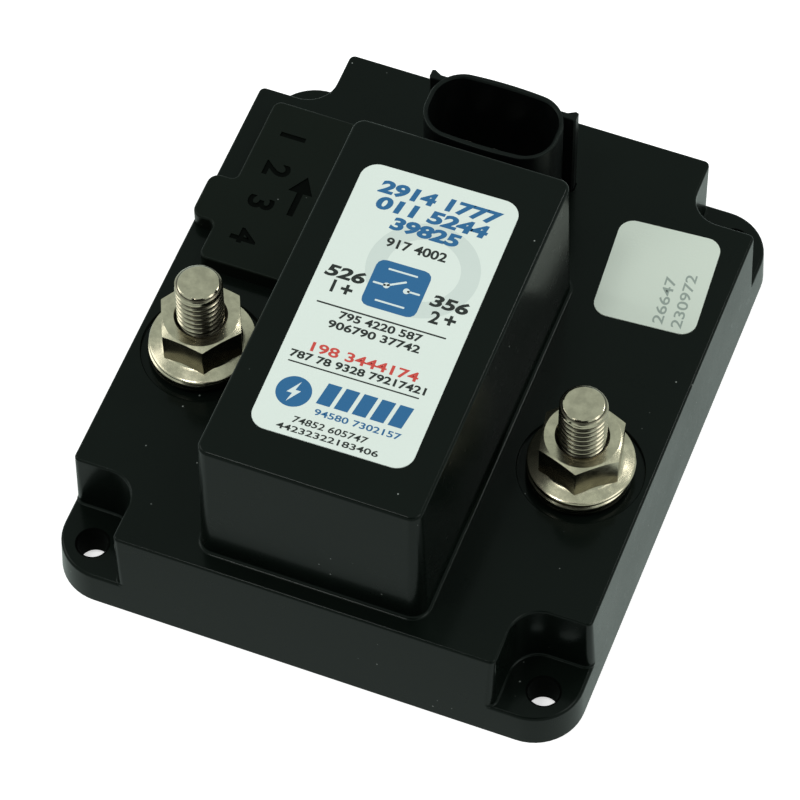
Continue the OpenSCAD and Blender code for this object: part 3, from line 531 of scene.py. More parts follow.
def ink(name, colour):
    """Printing ink that follows the film's texture, thinner in places."""
    net = Net(name)
    pebble, speck = net.noise(0.42, 2, 0.5), net.noise(0.12, 2)
    pale = tuple(c + 0.05 for c in colour[:3]) + (1,)
    base = net.mix(net.ramp(speck, (0.62, 0), (0.78, 0.4)), colour, pale)
    return net.done(base, 0.38 + 0.1 * (pebble - 0.5), net.bump(pebble, 0.02), Specular_IOR_Level=0.35)


def board_green(name):
    """Solder mask over copper tracks."""
    net = Net(name)
    tracks = net.node("ShaderNodeTexBrick", {"offset": 0.37, "squash": 1.0}, {
        "Vector": net.place, "Scale": 260.0, "Mortar Size": 0.035, "Color1": (0, 0, 0, 1),
        "Color2": (0, 0, 0, 1), "Mortar": (1, 1, 1, 1)})
    cloud = net.noise(6, 3)
    base = net.mix(tracks * 0.8, (0.008, 0.075, 0.035, 1), (0.02, 0.16, 0.07, 1))
    base = net.mix(cloud * 0.25, base, (0.004, 0.05, 0.025, 1))
    return net.done(base, 0.3 + 0.12 * (cloud - 0.5), net.bump(tracks, 0.03), Specular_IOR_Level=0.5)


def wound_wire(name, colour, pitch=0.3):
    """Layers of enamelled wire side by side, with painted shade in the grooves between the wires."""
    net = Net(name)
    strand = (net.axis("Z") * (2 * math.pi / pitch)).maths("SINE") * 0.5 + 0.5
    tone = net.noise(1.4, 3)
    # Painted shade: the colour darkens to a quarter in the grooves between neighbouring wires.
    base = net.mix(strand * 0.7 + tone * 0.3, shade(colour, 0.25), colour)
    return net.done(base, 0.3 + 0.15 * (tone - 0.5), net.bump(strand, 0.05), Metallic=0.4)


MATERIALS = {
    # The housing gets painted shade inside its ear holes.
    "housing_plastic": moulded_plastic("housing_black", (0.0022, 0.0037, 0.0028, 1), 0.31, 0.035, dust=0.8,
                                       shade_in_holes=True, skin=0.1),
    "base_plastic": moulded_plastic("base_black", (0.012, 0.013, 0.0125, 1), 0.55, 0.2),
    "cover_plastic": moulded_plastic("cover_black", (0.0028, 0.0040, 0.0028, 1), 0.4, 0.078, grain=0.3,
                                     depth=0.008, dust=0.4),
    "cover_figures": moulded_plastic("figure_black", (0.0006, 0.0008, 0.0006, 1), 0.7, 0.03),
    "connector_plastic": moulded_plastic("connector_black", (0.0022, 0.0027, 0.0027, 1), 0.36, 0.1),
    "dark_rubber": rubber("seal_rubber", (0.02, 0.021, 0.02, 1)),
    "red_rubber": rubber("header_seal_rubber", (0.24, 0.05, 0.03, 1)),
    "stainless_steel": worked_metal("stainless", (0.39, 0.35, 0.265, 1), 0.2),
    # Studs and nuts: painted shade near the stud's axis, given as inner radius, outer radius and top height.
    "thread_steel": worked_metal("stud_stainless", (0.39, 0.345, 0.26, 1), 0.13, depth=0.002,
                                 painted_shade=(3.5, 3.88, STUD_TOP - 0.2)),
    "nut_steel": worked_metal("nut_stainless", (0.4, 0.355, 0.265, 1), 0.2, painted_shade=(4.15, 4.5, STUD_TOP)),
    "zinc_steel": worked_metal("zinc_plate", (0.46, 0.46, 0.4, 1), 0.3),
    "spring_steel": worked_metal("spring_wire", (0.4, 0.4, 0.38, 1), 0.25),
    "brass": worked_metal("collar_brass", (0.6, 0.42, 0.18, 1), 0.28),
    "copper": worked_metal("busbar_copper", (0.72, 0.32, 0.17, 1), 0.3),
    "contact_silver": worked_metal("contact_silver", (0.8, 0.79, 0.75, 1), 0.28, tarnish=0.35),
    "board_green": board_green("board_mask"),
    "chip_black": moulded_plastic("chip_epoxy", (0.012, 0.012, 0.012, 1), 0.5, 0.4, grain=0.1),
    "capacitor_can": worked_metal("capacitor_sleeve", (0.05, 0.07, 0.16, 1), 0.35),
    "switch_red": moulded_plastic("switch_block", (0.28, 0.016, 0.012, 1), 0.42, 0.4),
    "slider_white": moulded_plastic("slider_nylon", (0.74, 0.74, 0.7, 1), 0.45, 0.4),
    "lens_clear": moulded_plastic("light_guide", (0.72, 0.8, 0.78, 1), 0.15, 0.5),
    "label_film": label_film("label_film", rgb("#dbe6df")),
    "label_tint": label_film("label_tint", rgb("#ccd8d2")),
    "status_film": label_film("status_film", rgb("#d0dbcf")),
    "ink_blue": ink("ink_blue", rgb("#205f8e")),
    "ink_black": ink("ink_black", rgb("#0d120f")),
    "ink_red": ink("ink_red", rgb("#c4443c")),
    "ink_white": ink("ink_white", rgb("#d5e2e0")),
    "ink_grey": ink("ink_grey", rgb("#8f9c94")),
    "pin_tin": worked_metal("pin_tin", (0.36, 0.35, 0.31, 1), 0.4),
    "bobbin_plastic": moulded_plastic("bobbin_nylon", (0.68, 0.63, 0.5, 1), 0.5, 0.4),
    "coil_wire": wound_wire("coil_enamel", (0.5, 0.16, 0.05, 1)),
    "coil_tape": moulded_plastic("coil_tape", (0.52, 0.33, 0.05, 1), 0.35, 0.45),
    "carrier_plastic": moulded_plastic("carrier_phenolic", (0.035, 0.02, 0.012, 1), 0.5, 0.35),
    "foam_pad": rubber("foam", (0.06, 0.065, 0.06, 1)),
    "lead_red": moulded_plastic("lead_red_sleeve", (0.42, 0.03, 0.02, 1), 0.4, 0.4),
    "lead_tan": moulded_plastic("lead_tan_sleeve", (0.5, 0.46, 0.28, 1), 0.4, 0.4),
}


# ---------------- housing

def four(x, y):
    """The four mirror images of a place."""
    return [(sx * x, sy * y) for sx in (-1, 1) for sy in (-1, 1)]


def block(x0, x1, y0, y1, z0, z1):
    """Mesh data of an upright box."""
    plan = round_rect(x1 - x0, y1 - y0, 0.05, (x0 + x1) / 2, (y0 + y1) / 2, 0, 2)
    return prism(plan, [(0, z0), (0, z1)])


def tube(cx, cy, outer, hole, z0, z1):
    """Mesh data of an upright ring."""
    return ring_solid([(hole, z0), (outer, z0), (outer, z1), (hole, z1)], cx, cy, 48)


def body_shell():
    """The body between its notches, with a fillet where a notch meets its ear."""
    turns = [math.pi / 2 * i / 4 for i in range(5)]
    foot = [(0, EAR_H + NOTCH_FOOT * (1 - math.cos(a)), NOTCH_FOOT * (1 - math.sin(a))) for a in turns]
    levels = ([(0.15, 0, NOTCH_FOOT), (0, 0.15, NOTCH_FOOT)] + foot
              + [(i, z, 0) for i, z in edge_levels(EAR_H, BODY_H, 0, BODY_EDGE)[1:]])
    rings = []
    for inset, z, flare in levels:
        out = DRAFT * (1 - z / BODY_H)
        rings.append([(x, y, z) for x, y in body_outline(inset - out, flare - out)])
    return loft(rings)


def tower_shell():
    """The tower with its draft, rounded top edge and a fillet at its foot."""
    turns = [math.pi / 2 * i / 4 for i in range(5)]
    foot = [(-TOWER_DRAFT - TOWER_FOOT * (1 - math.sin(a)), BODY_H + TOWER_FOOT * (1 - math.cos(a)))
            for a in turns]
    levels = ([(-TOWER_DRAFT - TOWER_FOOT, UNDER_TOP + 0.5)] + foot
              + edge_levels(BODY_H, TOWER_TOP, 0, TOWER_EDGE)[1:])
    return prism(round_rect(TOWER_W, TOWER_L, TOWER_R, 0, TOWER_Y), levels)


def fin_outline(side, grow=0.0):
    """Plan of a fin beside the connector, swept back at its end."""
    def outline(inset=0.0):
        g = grow - inset
        x0, x1 = SHROUD_W / 2 - 2, SHROUD_W / 2 + FIN_REACH + g
        front, back = FIN_Y - FIN_T / 2 - g, FIN_Y + FIN_T / 2 + g
        points = [(x0, front), (x1 - 0.3, front), (x1, front + 0.4), (x1, back + 0.55),
                  (x1 - 0.45, back + 0.7), (SHROUD_W / 2 - 0.2, back), (x0, back)]
        return points if side > 0 else [(-x, y) for x, y in reversed(points)]
    return outline


def housing():
    """The black moulding: body, ears and tower, hollow below, with every opening in its top."""
    obj = raw_object(body_shell())
    ear = round_rect(BODY_W - 2 * SEAM, BODY_L - 2 * SEAM, EAR_R, steps=12)
    add(obj, prism(ear, drafted(edge_levels(SEAM, EAR_H, 0.15, EAR_EDGE))), tower_shell())
    hollow = prism(lambda _: body_outline(WALL), [(0, -OVERRUN), (0, UNDER_TOP)])
    rebate = prism(lambda _: body_outline(REBATE), [(0, -OVERRUN), (0, LEDGE_Z)])
    inside = round_rect(TOWER_W - 2 * TOWER_WALL, TOWER_L - 2 * TOWER_WALL, 1.0, 0, TOWER_Y)
    cut(obj, hollow, rebate, prism(inside, [(0, UNDER_TOP - OVERRUN), (0, TOWER_TOP - TOWER_WALL)]))
    under, through = UNDER_TOP - OVERRUN, [(0, UNDER_TOP - OVERRUN), (0, BODY_H + OVERRUN)]
    for side in (-1, 1):
        recess = prism(circle(RECESS_R, side * STUD_X, STUD_Y, 96),
                       hole_levels(BODY_H - RECESS_T, BODY_H, 0.12))
        cut(obj, recess, prism(circle(COLLAR_HOLE_R, side * STUD_X, STUD_Y), [(0, under), (0, BODY_H)]))
    window = round_rect(WINDOW_W, WINDOW_L, 1.5, WINDOW_X, WINDOW_Y)
    shroud_hole = round_rect(SHROUD_W + 0.3, SHROUD_L + 0.3, SHROUD_R + 0.15, 0, SHROUD_Y)
    cut(obj, prism(window, hole_levels(under, BODY_H)), prism(shroud_hole, hole_levels(under, BODY_H)),
        prism(fin_outline(1, 0.15), through), prism(fin_outline(-1, 0.15), through),
        prism(circle(2.15, STATUS_X, STATUS_Y, 32), hole_levels(under, BODY_H)))
    for x, y in four(BODY_W / 2 - EAR_INSET, BODY_L / 2 - EAR_INSET):
        cut(obj, lathe([(EAR_HOLE_R + 0.8, -OVERRUN), (EAR_HOLE_R + 0.8, 0), (EAR_HOLE_R, 0.8),
                        (EAR_HOLE_R, EAR_H - 0.2), (EAR_HOLE_R + 0.2, EAR_H),
                        (EAR_HOLE_R + 0.2, EAR_H + OVERRUN)], x, y, 48))
    into_top = UNDER_TOP + 0.2
    for x, y in four(*BASE_POST):
        add(obj, tube(x, y, POST_R, POST_HOLE_R, BASE_TOP, into_top))
        reach = (x + 2.85, x + 4.6) if x > 0 else (x - 4.6, x - 2.85)
        add(obj, block(*reach, y - 1, y + 1, LEDGE_Z, into_top))
    for x, y in ((side * x, y) for x, y in BOARD_POSTS for side in (-1, 1)):
        add(obj, tube(x, y, BOARD_POST_R, BOARD_HOLE_R, BOARD_TOP, into_top))
    for x, y in four(*RELAY_POST):
        add(obj, tube(x, STUD_Y + y, POST_R, POST_HOLE_R, UNDER_TOP - RELAY_POST_L, into_top))
    finish_piece(obj, "housing_moulding", "housing_plastic", nodes=["housing"])


housing()


# ---------------- switch cover

def text_solid(text, size, x, y, z0, z1, turn=0.0, weight=0.0, slant=0.0):
    """Solid of plain figures, centred on a point, turned in the plane, in millimetres."""
    curve = bpy.data.curves.new("figure", "FONT")
    curve.body, curve.size, curve.extrude = text, size * MM, (z1 - z0) / 2 * MM
    curve.align_x, curve.align_y, curve.offset, curve.shear = "CENTER", "CENTER", weight * MM, slant
    curve.resolution_u = 4
    holder = in_scene("figure", curve)
    mesh = bpy.data.meshes.new_from_object(holder.evaluated_get(bpy.context.evaluated_depsgraph_get()))
    mesh.transform(standing(x, y, (z0 + z1) / 2, turn))
    bpy.data.objects.remove(holder)
    clean(mesh, 0.001)
    return in_scene("figure", mesh)


def cover_marks(z0, z1):
    """Plain figures for the switches and an arrow, as solids between two heights."""
    marks = [text_solid(str(i + 1), 6.2, -35.0, 30.4 - 7.4 * i, z0, z1, -90, 0.16) for i in range(4)]
    arrow = [(-29.75, 14.8), (-28.65, 14.8), (-28.65, 19.8), (-27.0, 19.8), (-29.2, 23.4), (-31.4, 19.8),
             (-29.75, 19.8)]
    return marks + [raw_object(loft([[(x, y, z) for x, y in arrow] for z in (z0, z1)]))]


def dip_cover():
    """Cover plate with its plug, seal groove, finger tab and sunk figures for the switches."""
    obj = raw_object(prism(cover_outline, edge_levels(BODY_H, COVER_TOP, 0.1, COVER_EDGE)))
    groove = round_rect(14.9, 16.96, 2.9, WINDOW_X, WINDOW_Y)
    plug = round_rect(10.7, 12.76, 1.35, WINDOW_X, WINDOW_Y)
    cut(obj, prism(groove, [(0, BODY_H - OVERRUN), (0, BODY_H + 0.6)]))
    add(obj, prism(plug, edge_levels(19.0, BODY_H + 0.8, 0.2)))
    combine(obj, cover_marks(COVER_TOP - 0.22, COVER_TOP + 0.5), "DIFFERENCE")
    finish_piece(obj, "switch_cover_plate", "cover_plastic", "cover_set", ["dip_cover"])
    filling = join(cover_marks(COVER_TOP - 0.3, COVER_TOP - 0.17))
    finish_piece(filling, "switch_cover_figures", "cover_figures", "cover_set")


dip_cover()


# ---------------- connector

def connector():
    """Upright shroud with its socket, fins and the flange under the housing's top wall."""
    stem = round_rect(SHROUD_W, SHROUD_L, SHROUD_R, 0, SHROUD_Y, steps=SHROUD_STEPS)
    obj = raw_object(prism(stem, edge_levels(BOARD_TOP, BODY_H + 1, 0.2)))
    wide, half = SHROUD_W + SHROUD_SWELL, (SHROUD_W + SHROUD_SWELL) / 2
    plan = round_rect(wide, SHROUD_L, SHROUD_R, 0, SHROUD_Y, steps=SHROUD_STEPS)
    plan = bowed(plan, SHROUD_BOW, half, SHROUD_Y)
    add(obj, prism(plan, edge_levels(BODY_H + 0.02, SHROUD_TOP, 0.05, 0.3)))
    flange = round_rect(SHROUD_W + 7.2, SHROUD_L + 4, SHROUD_R, 0, SHROUD_Y)
    add(obj, prism(flange, [(0, UNDER_TOP - 2.6), (0, UNDER_TOP - 0.6)]))
    fin_levels = [(0, UNDER_TOP - 0.6), (0, SHROUD_TOP - 0.35), (0.12, SHROUD_TOP - 0.2)]
    for side in (-1, 1):
        add(obj, prism(fin_outline(side), fin_levels))
    socket = round_rect(wide - 2 * SHROUD_WALL, SHROUD_L - 2 * SHROUD_WALL, SHROUD_R - SHROUD_WALL, 0,
                        SHROUD_Y, steps=SHROUD_STEPS)
    socket = bowed(socket, SOCKET_BOW, half - SHROUD_WALL, SHROUD_Y)
    cut(obj, prism(socket, hole_levels(SOCKET_FLOOR, SHROUD_TOP, 0.25)))
    for column in (-1, 0, 1):
        for row in (-0.5, 0.5):
            x, y = column * PIN_STEP_X, SHROUD_Y + row * PIN_STEP_Y
            cut(obj, block(x - PIN_HOLE_W / 2, x + PIN_HOLE_W / 2, y - PIN_HOLE_L / 2, y + PIN_HOLE_L / 2,
                           BOARD_TOP - OVERRUN, SOCKET_FLOOR + OVERRUN))
    finish_piece(obj, "connector_shroud", "connector_plastic",
                 nodes=["connector_header"])


connector()


# ---------------- terminals

def thread_points():
    """Section of one pitch of the thread: share of the pitch and radius, from a root upwards."""
    return [(0.0, STUD_ROOT_R), (0.07, STUD_ROOT_R + 0.02), (0.16, STUD_ROOT_R + 0.12), (0.36, STUD_R - 0.1),
            (0.42, STUD_R - 0.015), (0.5, STUD_R), (0.58, STUD_R - 0.015), (0.64, STUD_R - 0.1),
            (0.84, STUD_ROOT_R + 0.12), (0.93, STUD_ROOT_R + 0.02)]


def stud_radius(r, z, low):
    """The thread's radius where it runs into the shank below or the plain chamfered end above."""
    plain = min(max((z - STUD_TOP + PLAIN_END) / END_FADE, 0.0), 1.0)
    started = min((z - low) / START_FADE, 1.0)
    r = STUD_CORE_R + (r + (STUD_R - r) * plain - STUD_CORE_R) * started
    return min(r, STUD_R, STUD_END_R + STUD_END_SLOPE * (STUD_TOP - z))


def thread_mesh(steps=72):
    """Mesh of the helical thread round the axis, closed at both ends."""
    section = thread_points()
    low, high = COLLAR_TOP + 0.6, STUD_TOP
    start = int((low - NUT_TOP) / PITCH) - 2
    count = int((high - low) / PITCH) + 5
    work, columns = bmesh.new(), []
    for k in range(steps):
        turn, column = k / steps, []
        x, y = math.cos(2 * math.pi * k / steps), math.sin(2 * math.pi * k / steps)
        for m in range(count):
            for share, r in section:
                z = min(max(NUT_TOP + (start + m + share + turn) * PITCH, low), high)
                r = stud_radius(r, z, low)
                column.append(work.verts.new((r * x * MM, r * y * MM, z * MM)))
        columns.append(column)
    for k, column in enumerate(columns):
        step = 0 if k < steps - 1 else len(section)
        after = columns[(k + 1) % steps][step:]
        for i in range(len(after) - 1):
            work.faces.new((column[i], after[i], after[i + 1], column[i + 1]))
    bmesh.ops.delete(work, geom=[v for v in work.verts if not v.link_faces], context="VERTS")
    bmesh.ops.remove_doubles(work, verts=work.verts, dist=1e-6)
    bmesh.ops.dissolve_degenerate(work, edges=work.edges, dist=1e-6)
    bmesh.ops.holes_fill(work, edges=[e for e in work.edges if e.is_boundary], sides=0)
    bmesh.ops.recalc_face_normals(work, faces=work.faces)
    mesh = bpy.data.meshes.new("stud")
    work.to_mesh(mesh)
    work.free()
    return mesh


def threaded_stud(x):
    """Stud with a helical thread from just over its collar, a smooth shank and a hexagonal head below."""
    obj = in_scene("stud", thread_mesh())
    obj.data.transform(standing(x, STUD_Y))
    shank = circle(STUD_CORE_R - 0.07, x, STUD_Y)
    head = circle(STUD_HEAD_R, x, STUD_Y, 6)
    add(obj, prism(shank, [(0, STUD_HEAD_Z + 2), (0, COLLAR_TOP + 0.9)]),
        prism(head, edge_levels(STUD_HEAD_Z, STUD_HEAD_Z + STUD_HEAD_H, 0.3, 0, 3)))
    return obj


def hexagon():
    """Plan of the nut's hexagon with slightly rounded corners."""
    points = []
    reach = NUT_AF / math.sqrt(3) - NUT_SOFT / math.cos(math.radians(30))
    for corner in range(0, 360, 60):
        a = math.radians(corner)
        points += [(reach * math.cos(a) + NUT_SOFT * math.cos(a + b),
                    reach * math.sin(a) + NUT_SOFT * math.sin(a + b))
                   for b in (math.radians(d) for d in (-30, -15, 0, 15, 30))]
    return points


def flange_nut(x, turn):
    """Hexagon nut with chamfered corners, a sloped flange and a countersunk bore."""
    foot, wide = WASHER_TOP, NUT_BORE_R + 0.45
    nut = raw_object(prism(lambda _: hexagon(), [(0, foot + 0.4), (0, foot + NUT_H)]))
    combine(nut, [raw_object(lathe([(r, foot + z) for r, z in NUT_CONE]))], "INTERSECT")
    add(nut, lathe([(r, foot + z) for r, z in NUT_FLANGE]))
    cut(nut, lathe([(NUT_BORE_R + 0.5, foot - OVERRUN), (NUT_BORE_R + 0.5, foot + 0.1),
                    (NUT_BORE_R, foot + 0.6), (NUT_BORE_R, foot + NUT_H - 0.45), (wide, foot + NUT_H),
                    (wide, foot + NUT_H + OVERRUN)]))
    nut.data.transform(standing(x, STUD_Y, 0, turn))
    return nut


def washer(x, y):
    """Plain stamped washer: rounded on top, sharper below."""
    top, rim, hole = WASHER_TOP, WASHER_R - 0.25, WASHER_HOLE_R + 0.2
    loop = [(hole, COLLAR_TOP), (rim - 0.15, COLLAR_TOP), (rim, COLLAR_TOP + 0.15),
            (rim, top - 0.45), (rim - 0.12, top - 0.18), (rim - 0.4, top), (hole + 0.1, top)]
    return raw_object(ring_solid(loop, x, y))


def terminals():
    """Both studs with their nuts and washers."""
    steel = "stainless_steel"
    for side, number, turn, slip_x, slip_y in ((-1, 1, 54, -0.45, -0.15), (1, 2, 41, -0.15, -0.45)):
        x = side * STUD_X
        finish_piece(threaded_stud(x), f"terminal_stud_{number}_threaded", "thread_steel",
                     nodes=[f"terminal_stud_{number}"], sharp=50)
        finish_piece(flange_nut(x, turn), f"terminal_nut_{number}_flanged", "nut_steel",
                     f"nut_{number}", [f"terminal_nut_{number}"], 20)
        finish_piece(washer(x + slip_x, STUD_Y + slip_y), f"terminal_washer_{number}_plain", steel,
                     nodes=[f"terminal_washer_{number}"])


terminals()


# ---------------- labels

on_label = turned(0, TOWER_Y, LABEL_TURN)
on_status = turned(STATUS_X, STATUS_Y, STATUS_TURN)


def ink_bars(bars, base):
    """Mesh data of printed bars on the tower's label, each (u, v, width, height, radius)."""
    return [prism(round_rect(w, h, r, *on_label(u, v), LABEL_TURN, 3), [(0, base - SUNK), (0, base + INK_T)])
            for u, v, w, h, r in bars]


def ink_shape(corners, base):
    """Mesh data of a printed shape of corners on the tower's label."""
    outline = [on_label(u, v) for u, v in corners]
    return loft([[(x, y, z) for x, y in outline] for z in (base - SUNK, base + INK_T)])


def print_line(place, turn, face, u0, u1, v, height, counts, seed, weight, slant=0.0):
    """A line of print as groups of plain figures in no order, fitted between u0 and u1."""
    draw = random.Random(seed)
    text = " ".join("".join(draw.choice("0123456789") for _ in range(count)) for count in counts)
    line = text_solid(text, height / 0.7, 0, 0, 0, INK_T + SUNK, 0, weight, slant)
    xs = [vertex.co.x for vertex in line.data.vertices]
    fit = (u1 - u0) * MM / (max(xs) - min(xs))
    centre = Matrix.Translation((-(max(xs) + min(xs)) / 2 * fit, 0, 0))
    x, y = place((u0 + u1) / 2, v)
    line.data.transform(standing(x, y, face - SUNK, turn) @ centre @ Matrix.Diagonal((fit, 1, 1, 1)))
    return line


def label_print(name, material, rows, extra=()):
    """One colour of the tower label's print: lines of figures, and shapes as mesh data."""
    lines = [print_line(on_label, LABEL_TURN, LABEL_FACE, *row) for row in rows]
    finish_piece(join(lines + [raw_object(part) for part in extra]), name, material)


def figure(text, size, u, v, weight):
    """Plain figure or sign beside a terminal's side of the tower's label."""
    x, y = on_label(u, v)
    return text_solid(text, size, x, y, LABEL_FACE, LABEL_FACE + INK_T, LABEL_TURN, weight)


def main_label():
    """Tower label: film, a pale ring, and generic print in plain figures, rules and leaning bars."""
    film = raw_object(prism(round_rect(LABEL_W, LABEL_L, LABEL_R, 0, TOWER_Y, LABEL_TURN, 12),
                            edge_levels(TOWER_TOP, LABEL_FACE, 0, 0.05, 2)))
    finish_piece(film, "main_label_film", "label_film", nodes=["main_label"])
    low, high = LABEL_FACE - SUNK, LABEL_FACE + 0.004
    ring = ring_solid([(6.1, low), (9.3, low), (9.3, high), (6.1, high)], *on_label(2.6, 9.6))
    finish_piece(raw_object(ring), "label_pale_ring", "label_tint")
    w, h, lean = 1.15, 2.1, 0.16
    stripes = [ink_shape([(u - w - lean * h, -17.9 - h), (u + w - lean * h, -17.9 - h),
                          (u + w + lean * h, -17.9 + h), (u - w + lean * h, -17.9 + h)], LABEL_FACE)
               for u in (-3.1 + 3.0 * i for i in range(5))]
    rules = ink_bars([(-0.4, -1.6, 21.9, 0.3, 0.1), (-0.6, -13.75, 22.0, 0.26, 0.1)], LABEL_FACE)
    # Each line: left and right end, height on the label, size, figures in each group, seed, weight, slant
    label_print("label_print_blue", "ink_blue", (
        (-9.8, 11.2, 23.1, 2.35, (4, 4), 1, 0.16, 0.12), (-9.1, 10.0, 19.9, 2.35, (3, 4), 2, 0.16, 0.12),
        (-5.5, 6.3, 16.7, 2.3, (5,), 3, 0.16, 0.12), (-4.2, 10.2, -21.6, 1.15, (5, 7), 5, 0.03)), stripes)
    label_print("label_print_black", "ink_black", (
        (-4.9, 5.4, 13.0, 1.7, (3, 4), 6, 0.07), (-12.2, -5.5, 4.7, 2.1, (3,), 7, 0.12, 0.15),
        (5.7, 12.1, 4.6, 2.1, (3,), 8, 0.12, 0.15), (-7.0, 7.0, -3.0, 1.4, (3, 4, 3), 9, 0.06),
        (-8.1, 7.4, -5.1, 1.4, (6, 5), 10, 0.06), (-11.8, 11.0, -12.3, 1.35, (3, 2, 4, 8), 11, 0.06),
        (-6.9, 5.6, -24.0, 1.2, (5, 6), 12, 0.03, 0.1), (-9.0, 8.0, -25.8, 1.1, (14,), 13, 0.03)), rules)
    label_print("label_print_red", "ink_red", ((-9.0, 9.0, -10.2, 1.75, (3, 7), 14, 0.06),))
    figures = [figure("1", 3.3, -9.9, 1.9, 0.1), figure("+", 3.6, -7.6, 1.8, 0.12),
               figure("2", 3.3, 7.5, 1.5, 0.1), figure("+", 3.6, 10.0, 1.7, 0.12)]
    finish_piece(join(figures), "label_figures", "ink_black")


def label_symbols():
    """Blue square with a plain open switch, and a blue disc with a spark, both with white lines."""
    base = LABEL_FACE + INK_T
    disc = circle(2.9, *on_label(-8.6, -19.1), 48)
    grounds = ink_bars([(-0.2, 4.9, 9.3, 9.4, 1.4)], LABEL_FACE)
    grounds.append(prism(disc, [(0, LABEL_FACE - SUNK), (0, base)]))
    finish_piece(merged(grounds), "label_symbol_grounds", "ink_blue")
    levels = [(0, base - SUNK), (0, base + INK_T)]
    parts = ink_bars([(-3.1, 4.9, 2.2, 0.36, 0.15), (2.7, 4.9, 2.2, 0.36, 0.15), (-0.2, 8.1, 5.0, 0.34, 0.1),
                      (-0.2, 1.7, 5.0, 0.34, 0.1)], base)
    parts += [prism(circle(0.55, *on_label(u, 4.9), 20), levels) for u in (-1.9, 1.5)]
    parts.append(prism(round_rect(3.3, 0.38, 0.15, *on_label(-0.45, 5.75), LABEL_TURN + 30, 3), levels))
    spark = ((-0.6, -2.1), (1.1, 0.35), (0.15, 0.35), (0.6, 2.1), (-1.1, -0.35), (-0.15, -0.35))
    parts.append(ink_shape([(u - 8.6, v - 19.1) for u, v in spark], base))
    finish_piece(merged(parts), "label_symbol_lines", "ink_white")


def status_label():
    """Small pale label over the status light, with two lines of print along its length."""
    film = raw_object(prism(round_rect(STATUS_W, STATUS_L, STATUS_R, STATUS_X, STATUS_Y, STATUS_TURN, 12),
                            edge_levels(BODY_H, STATUS_FACE, 0, 0.05, 2)))
    finish_piece(film, "status_label_film", "status_film", nodes=["status_label"])
    rows = ((-9.2, 0.6, -2.5, 1.8, (5,), 21, 0.03), (-9.2, 2.0, -5.7, 1.8, (6,), 22, 0.03))
    lines = [print_line(lambda u, v: on_status(-v, u), STATUS_TURN + 90, STATUS_FACE, *row) for row in rows]
    finish_piece(join(lines), "status_label_print", "ink_grey")


main_label()
label_symbols()
status_label()


# ---------------- springs

def coil(x, y, z0, length, mean_r, wire_r, turns, sides=10, steps=28):
    """Mesh data of a compression spring with closed ends."""
    rings, total = [], turns * steps
    closed = 0.75 * steps
    low, high = z0 + wire_r, z0 + length - wire_r
    heights = [0.0]
    for i in range(total):
        at_end = i < closed or i >= total - closed
        heights.append(heights[-1] + (0.25 if at_end else 1.0))
    for i in range(total + 1):
        a = 2 * math.pi * i / steps
        z = low + (high - low) * heights[i] / heights[-1]
        ring = []
        for k in range(sides):
            b = 2 * math.pi * k / sides
            r = mean_r + wire_r * math.cos(b)
            ring.append((x + r * math.cos(a), y + r * math.sin(a), z - wire_r * math.sin(b)))
        rings.append(ring)
    return loft(rings)


def springs():
    """Both springs of the relay, wound from wire, each carried by its body."""
    for node, body, joint, turns, wire, travel in (
            ("return_spring", "root", "plunger_stroke", 9, 0.25, 0.0025),
            ("contact_spring", "bridge_set", "bridge_stroke", 4, 0.28, 0.00035)):
        low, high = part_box(node)
        mean = (high.x - low.x) / MM / 2 - wire
        x, y = (high.x + low.x) / 2, (high.y + low.y) / 2
        length = high.z - low.z
        obj = raw_object(coil(x / MM, y / MM, low.z / MM, length / MM, mean, wire, turns))
        finish_piece(obj, node + "_wire", "spring_steel", body, [node], 60)
        obj.modifiers.clear()
        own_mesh(obj)


springs()


# ---------------- shown CAD nodes

def dress_cad_nodes():
    """Gives every CAD node that still shows the finish of its slot."""
    slots = {part["node"]: part["material_slot"] for part in frame["record"]["subparts"]}
    for name, obj in frame["nodes"].items():
        if not obj.hide_render:
            obj.data.materials.clear()
            obj.data.materials.append(MATERIALS[slots[name]])


dress_cad_nodes()


# ---------------- stage, light and camera

def stage_material():
    """White ground that keeps the object's shadow."""
    net = Net("ground_white")
    diffuse = net.node("ShaderNodeBsdfDiffuse", {}, {"Color": (0.86, 0.86, 0.86, 1)})
    glow = net.node("ShaderNodeEmission", {}, {"Color": (1, 1, 1, 1), "Strength": 0.6})
    both = net.node("ShaderNodeAddShader", {}, {0: diffuse, 1: glow})
    white = net.node("ShaderNodeEmission", {}, {"Color": MIRRORED_WHITE, "Strength": 1.0})
    mirrored = net.ray("Glossy") + net.ray("Transmission")
    unseen = net.node("ShaderNodeMixShader", {}, {0: mirrored, 1: diffuse, 2: white})
    return net.surface(net.node("ShaderNodeMixShader", {}, {0: net.ray("Camera"), 1: unseen, 2: both}))


def world():
    """White surroundings for the eye and for reflections, softer as light."""
    net = Net("studio", world=True)
    mirror = net.ray("Glossy")
    seen = net.ray("Camera").maths("MAXIMUM", mirror).maths("MAXIMUM", net.ray("Transmission"))
    net.surface(net.node("ShaderNodeBackground", {}, {
        "Color": net.mix(mirror, (1, 1, 1, 1), MIRRORED_WHITE),
        "Strength": WORLD_LIGHT + (1 - WORLD_LIGHT) * seen}))
    bpy.context.scene.world = net.owner


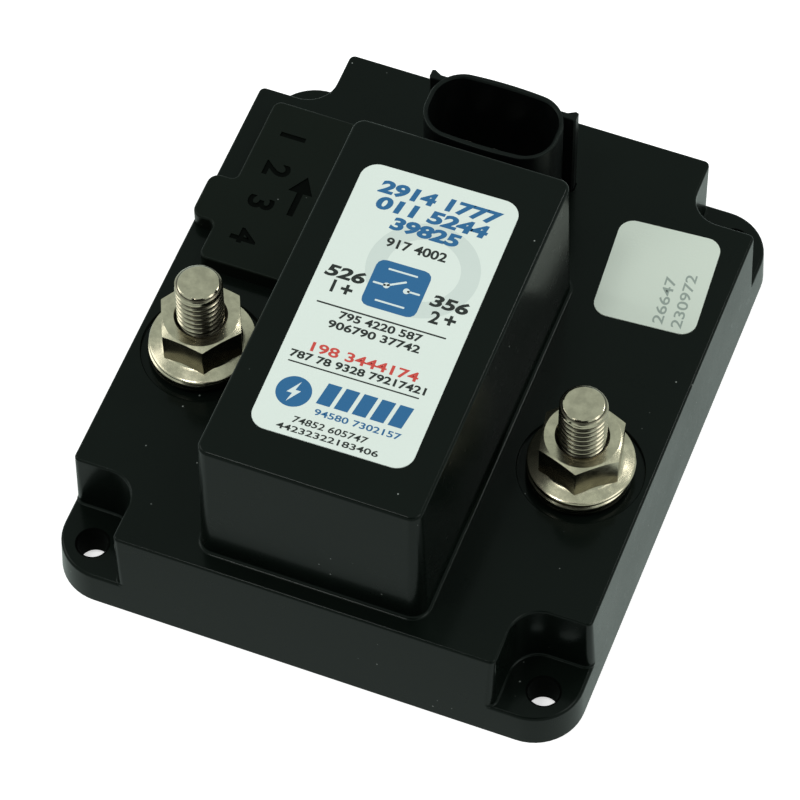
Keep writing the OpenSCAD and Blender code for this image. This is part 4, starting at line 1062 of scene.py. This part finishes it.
def lamp(name, place, size, power):
    """Soft box of the given width and height in metres, turned to the object."""
    light = bpy.data.lights.new(name, "AREA")
    light.shape, light.size, light.size_y, light.energy = "RECTANGLE", size[0], size[1], power
    light.color = LAMP_WHITE
    obj = in_scene(name, light)
    obj.location = place
    obj.rotation_euler = (Vector(LAMP_AIM) - Vector(place)).to_track_quat("-Z", "Y").to_euler()


def camera():
    """Camera at the photograph's place, turn and field of view."""
    yaw, pitch, roll = (math.radians(a) for a in (CAMERA_YAW, CAMERA_PITCH, CAMERA_ROLL))
    ahead = Vector((math.sin(yaw) * math.cos(pitch), math.cos(yaw) * math.cos(pitch), -math.sin(pitch)))
    level = Vector((math.cos(yaw), -math.sin(yaw), 0))
    under = ahead.cross(level)
    right = level * math.cos(roll) + under * math.sin(roll)
    down = -level * math.sin(roll) + under * math.cos(roll)
    place = -(right * CAMERA_RIGHT + down * CAMERA_DOWN + ahead * CAMERA_BACK) * MM
    data = bpy.data.cameras.new("camera")
    data.sensor_fit, data.sensor_width, data.lens = "HORIZONTAL", SENSOR_W, FOCAL_LENGTH
    data.clip_start, data.clip_end = 0.01, 20
    obj = in_scene("camera", data)
    obj.matrix_world = Matrix.Translation(place) @ Matrix((right, -down, -ahead)).transposed().to_4x4()
    bpy.context.scene.camera = obj


def dark_card():
    """Dark card between the object and the camera, which only reflections see."""
    card = raw_object(prism(circle(CARD_R), [(0, 0), (0, 4)]), "dark_card")
    card.data.materials.append(Net("card_black").done((0.004, 0.004, 0.004, 1), 0.9, Specular_IOR_Level=0.0))
    toward = Vector(CARD_TOWARD).normalized()
    card.location = toward * CARD_AWAY
    card.rotation_euler = toward.to_track_quat("Z", "Y").to_euler()
    card.visible_camera = card.visible_diffuse = card.visible_shadow = card.visible_transmission = False


def stage():
    """Floor, lights, world and camera."""
    corners = [(sx * FLOOR_HALF, sy * FLOOR_HALF, 0) for sx, sy in ((-1, -1), (1, -1), (1, 1), (-1, 1))]
    floor = raw_object((corners, [(0, 1, 2, 3)]), "floor")
    floor.data.materials.append(stage_material())
    world()
    for row in LAMPS:
        lamp(*row)
    dark_card()
    camera()
    bpy.context.scene.view_settings.view_transform = "Standard"


stage()
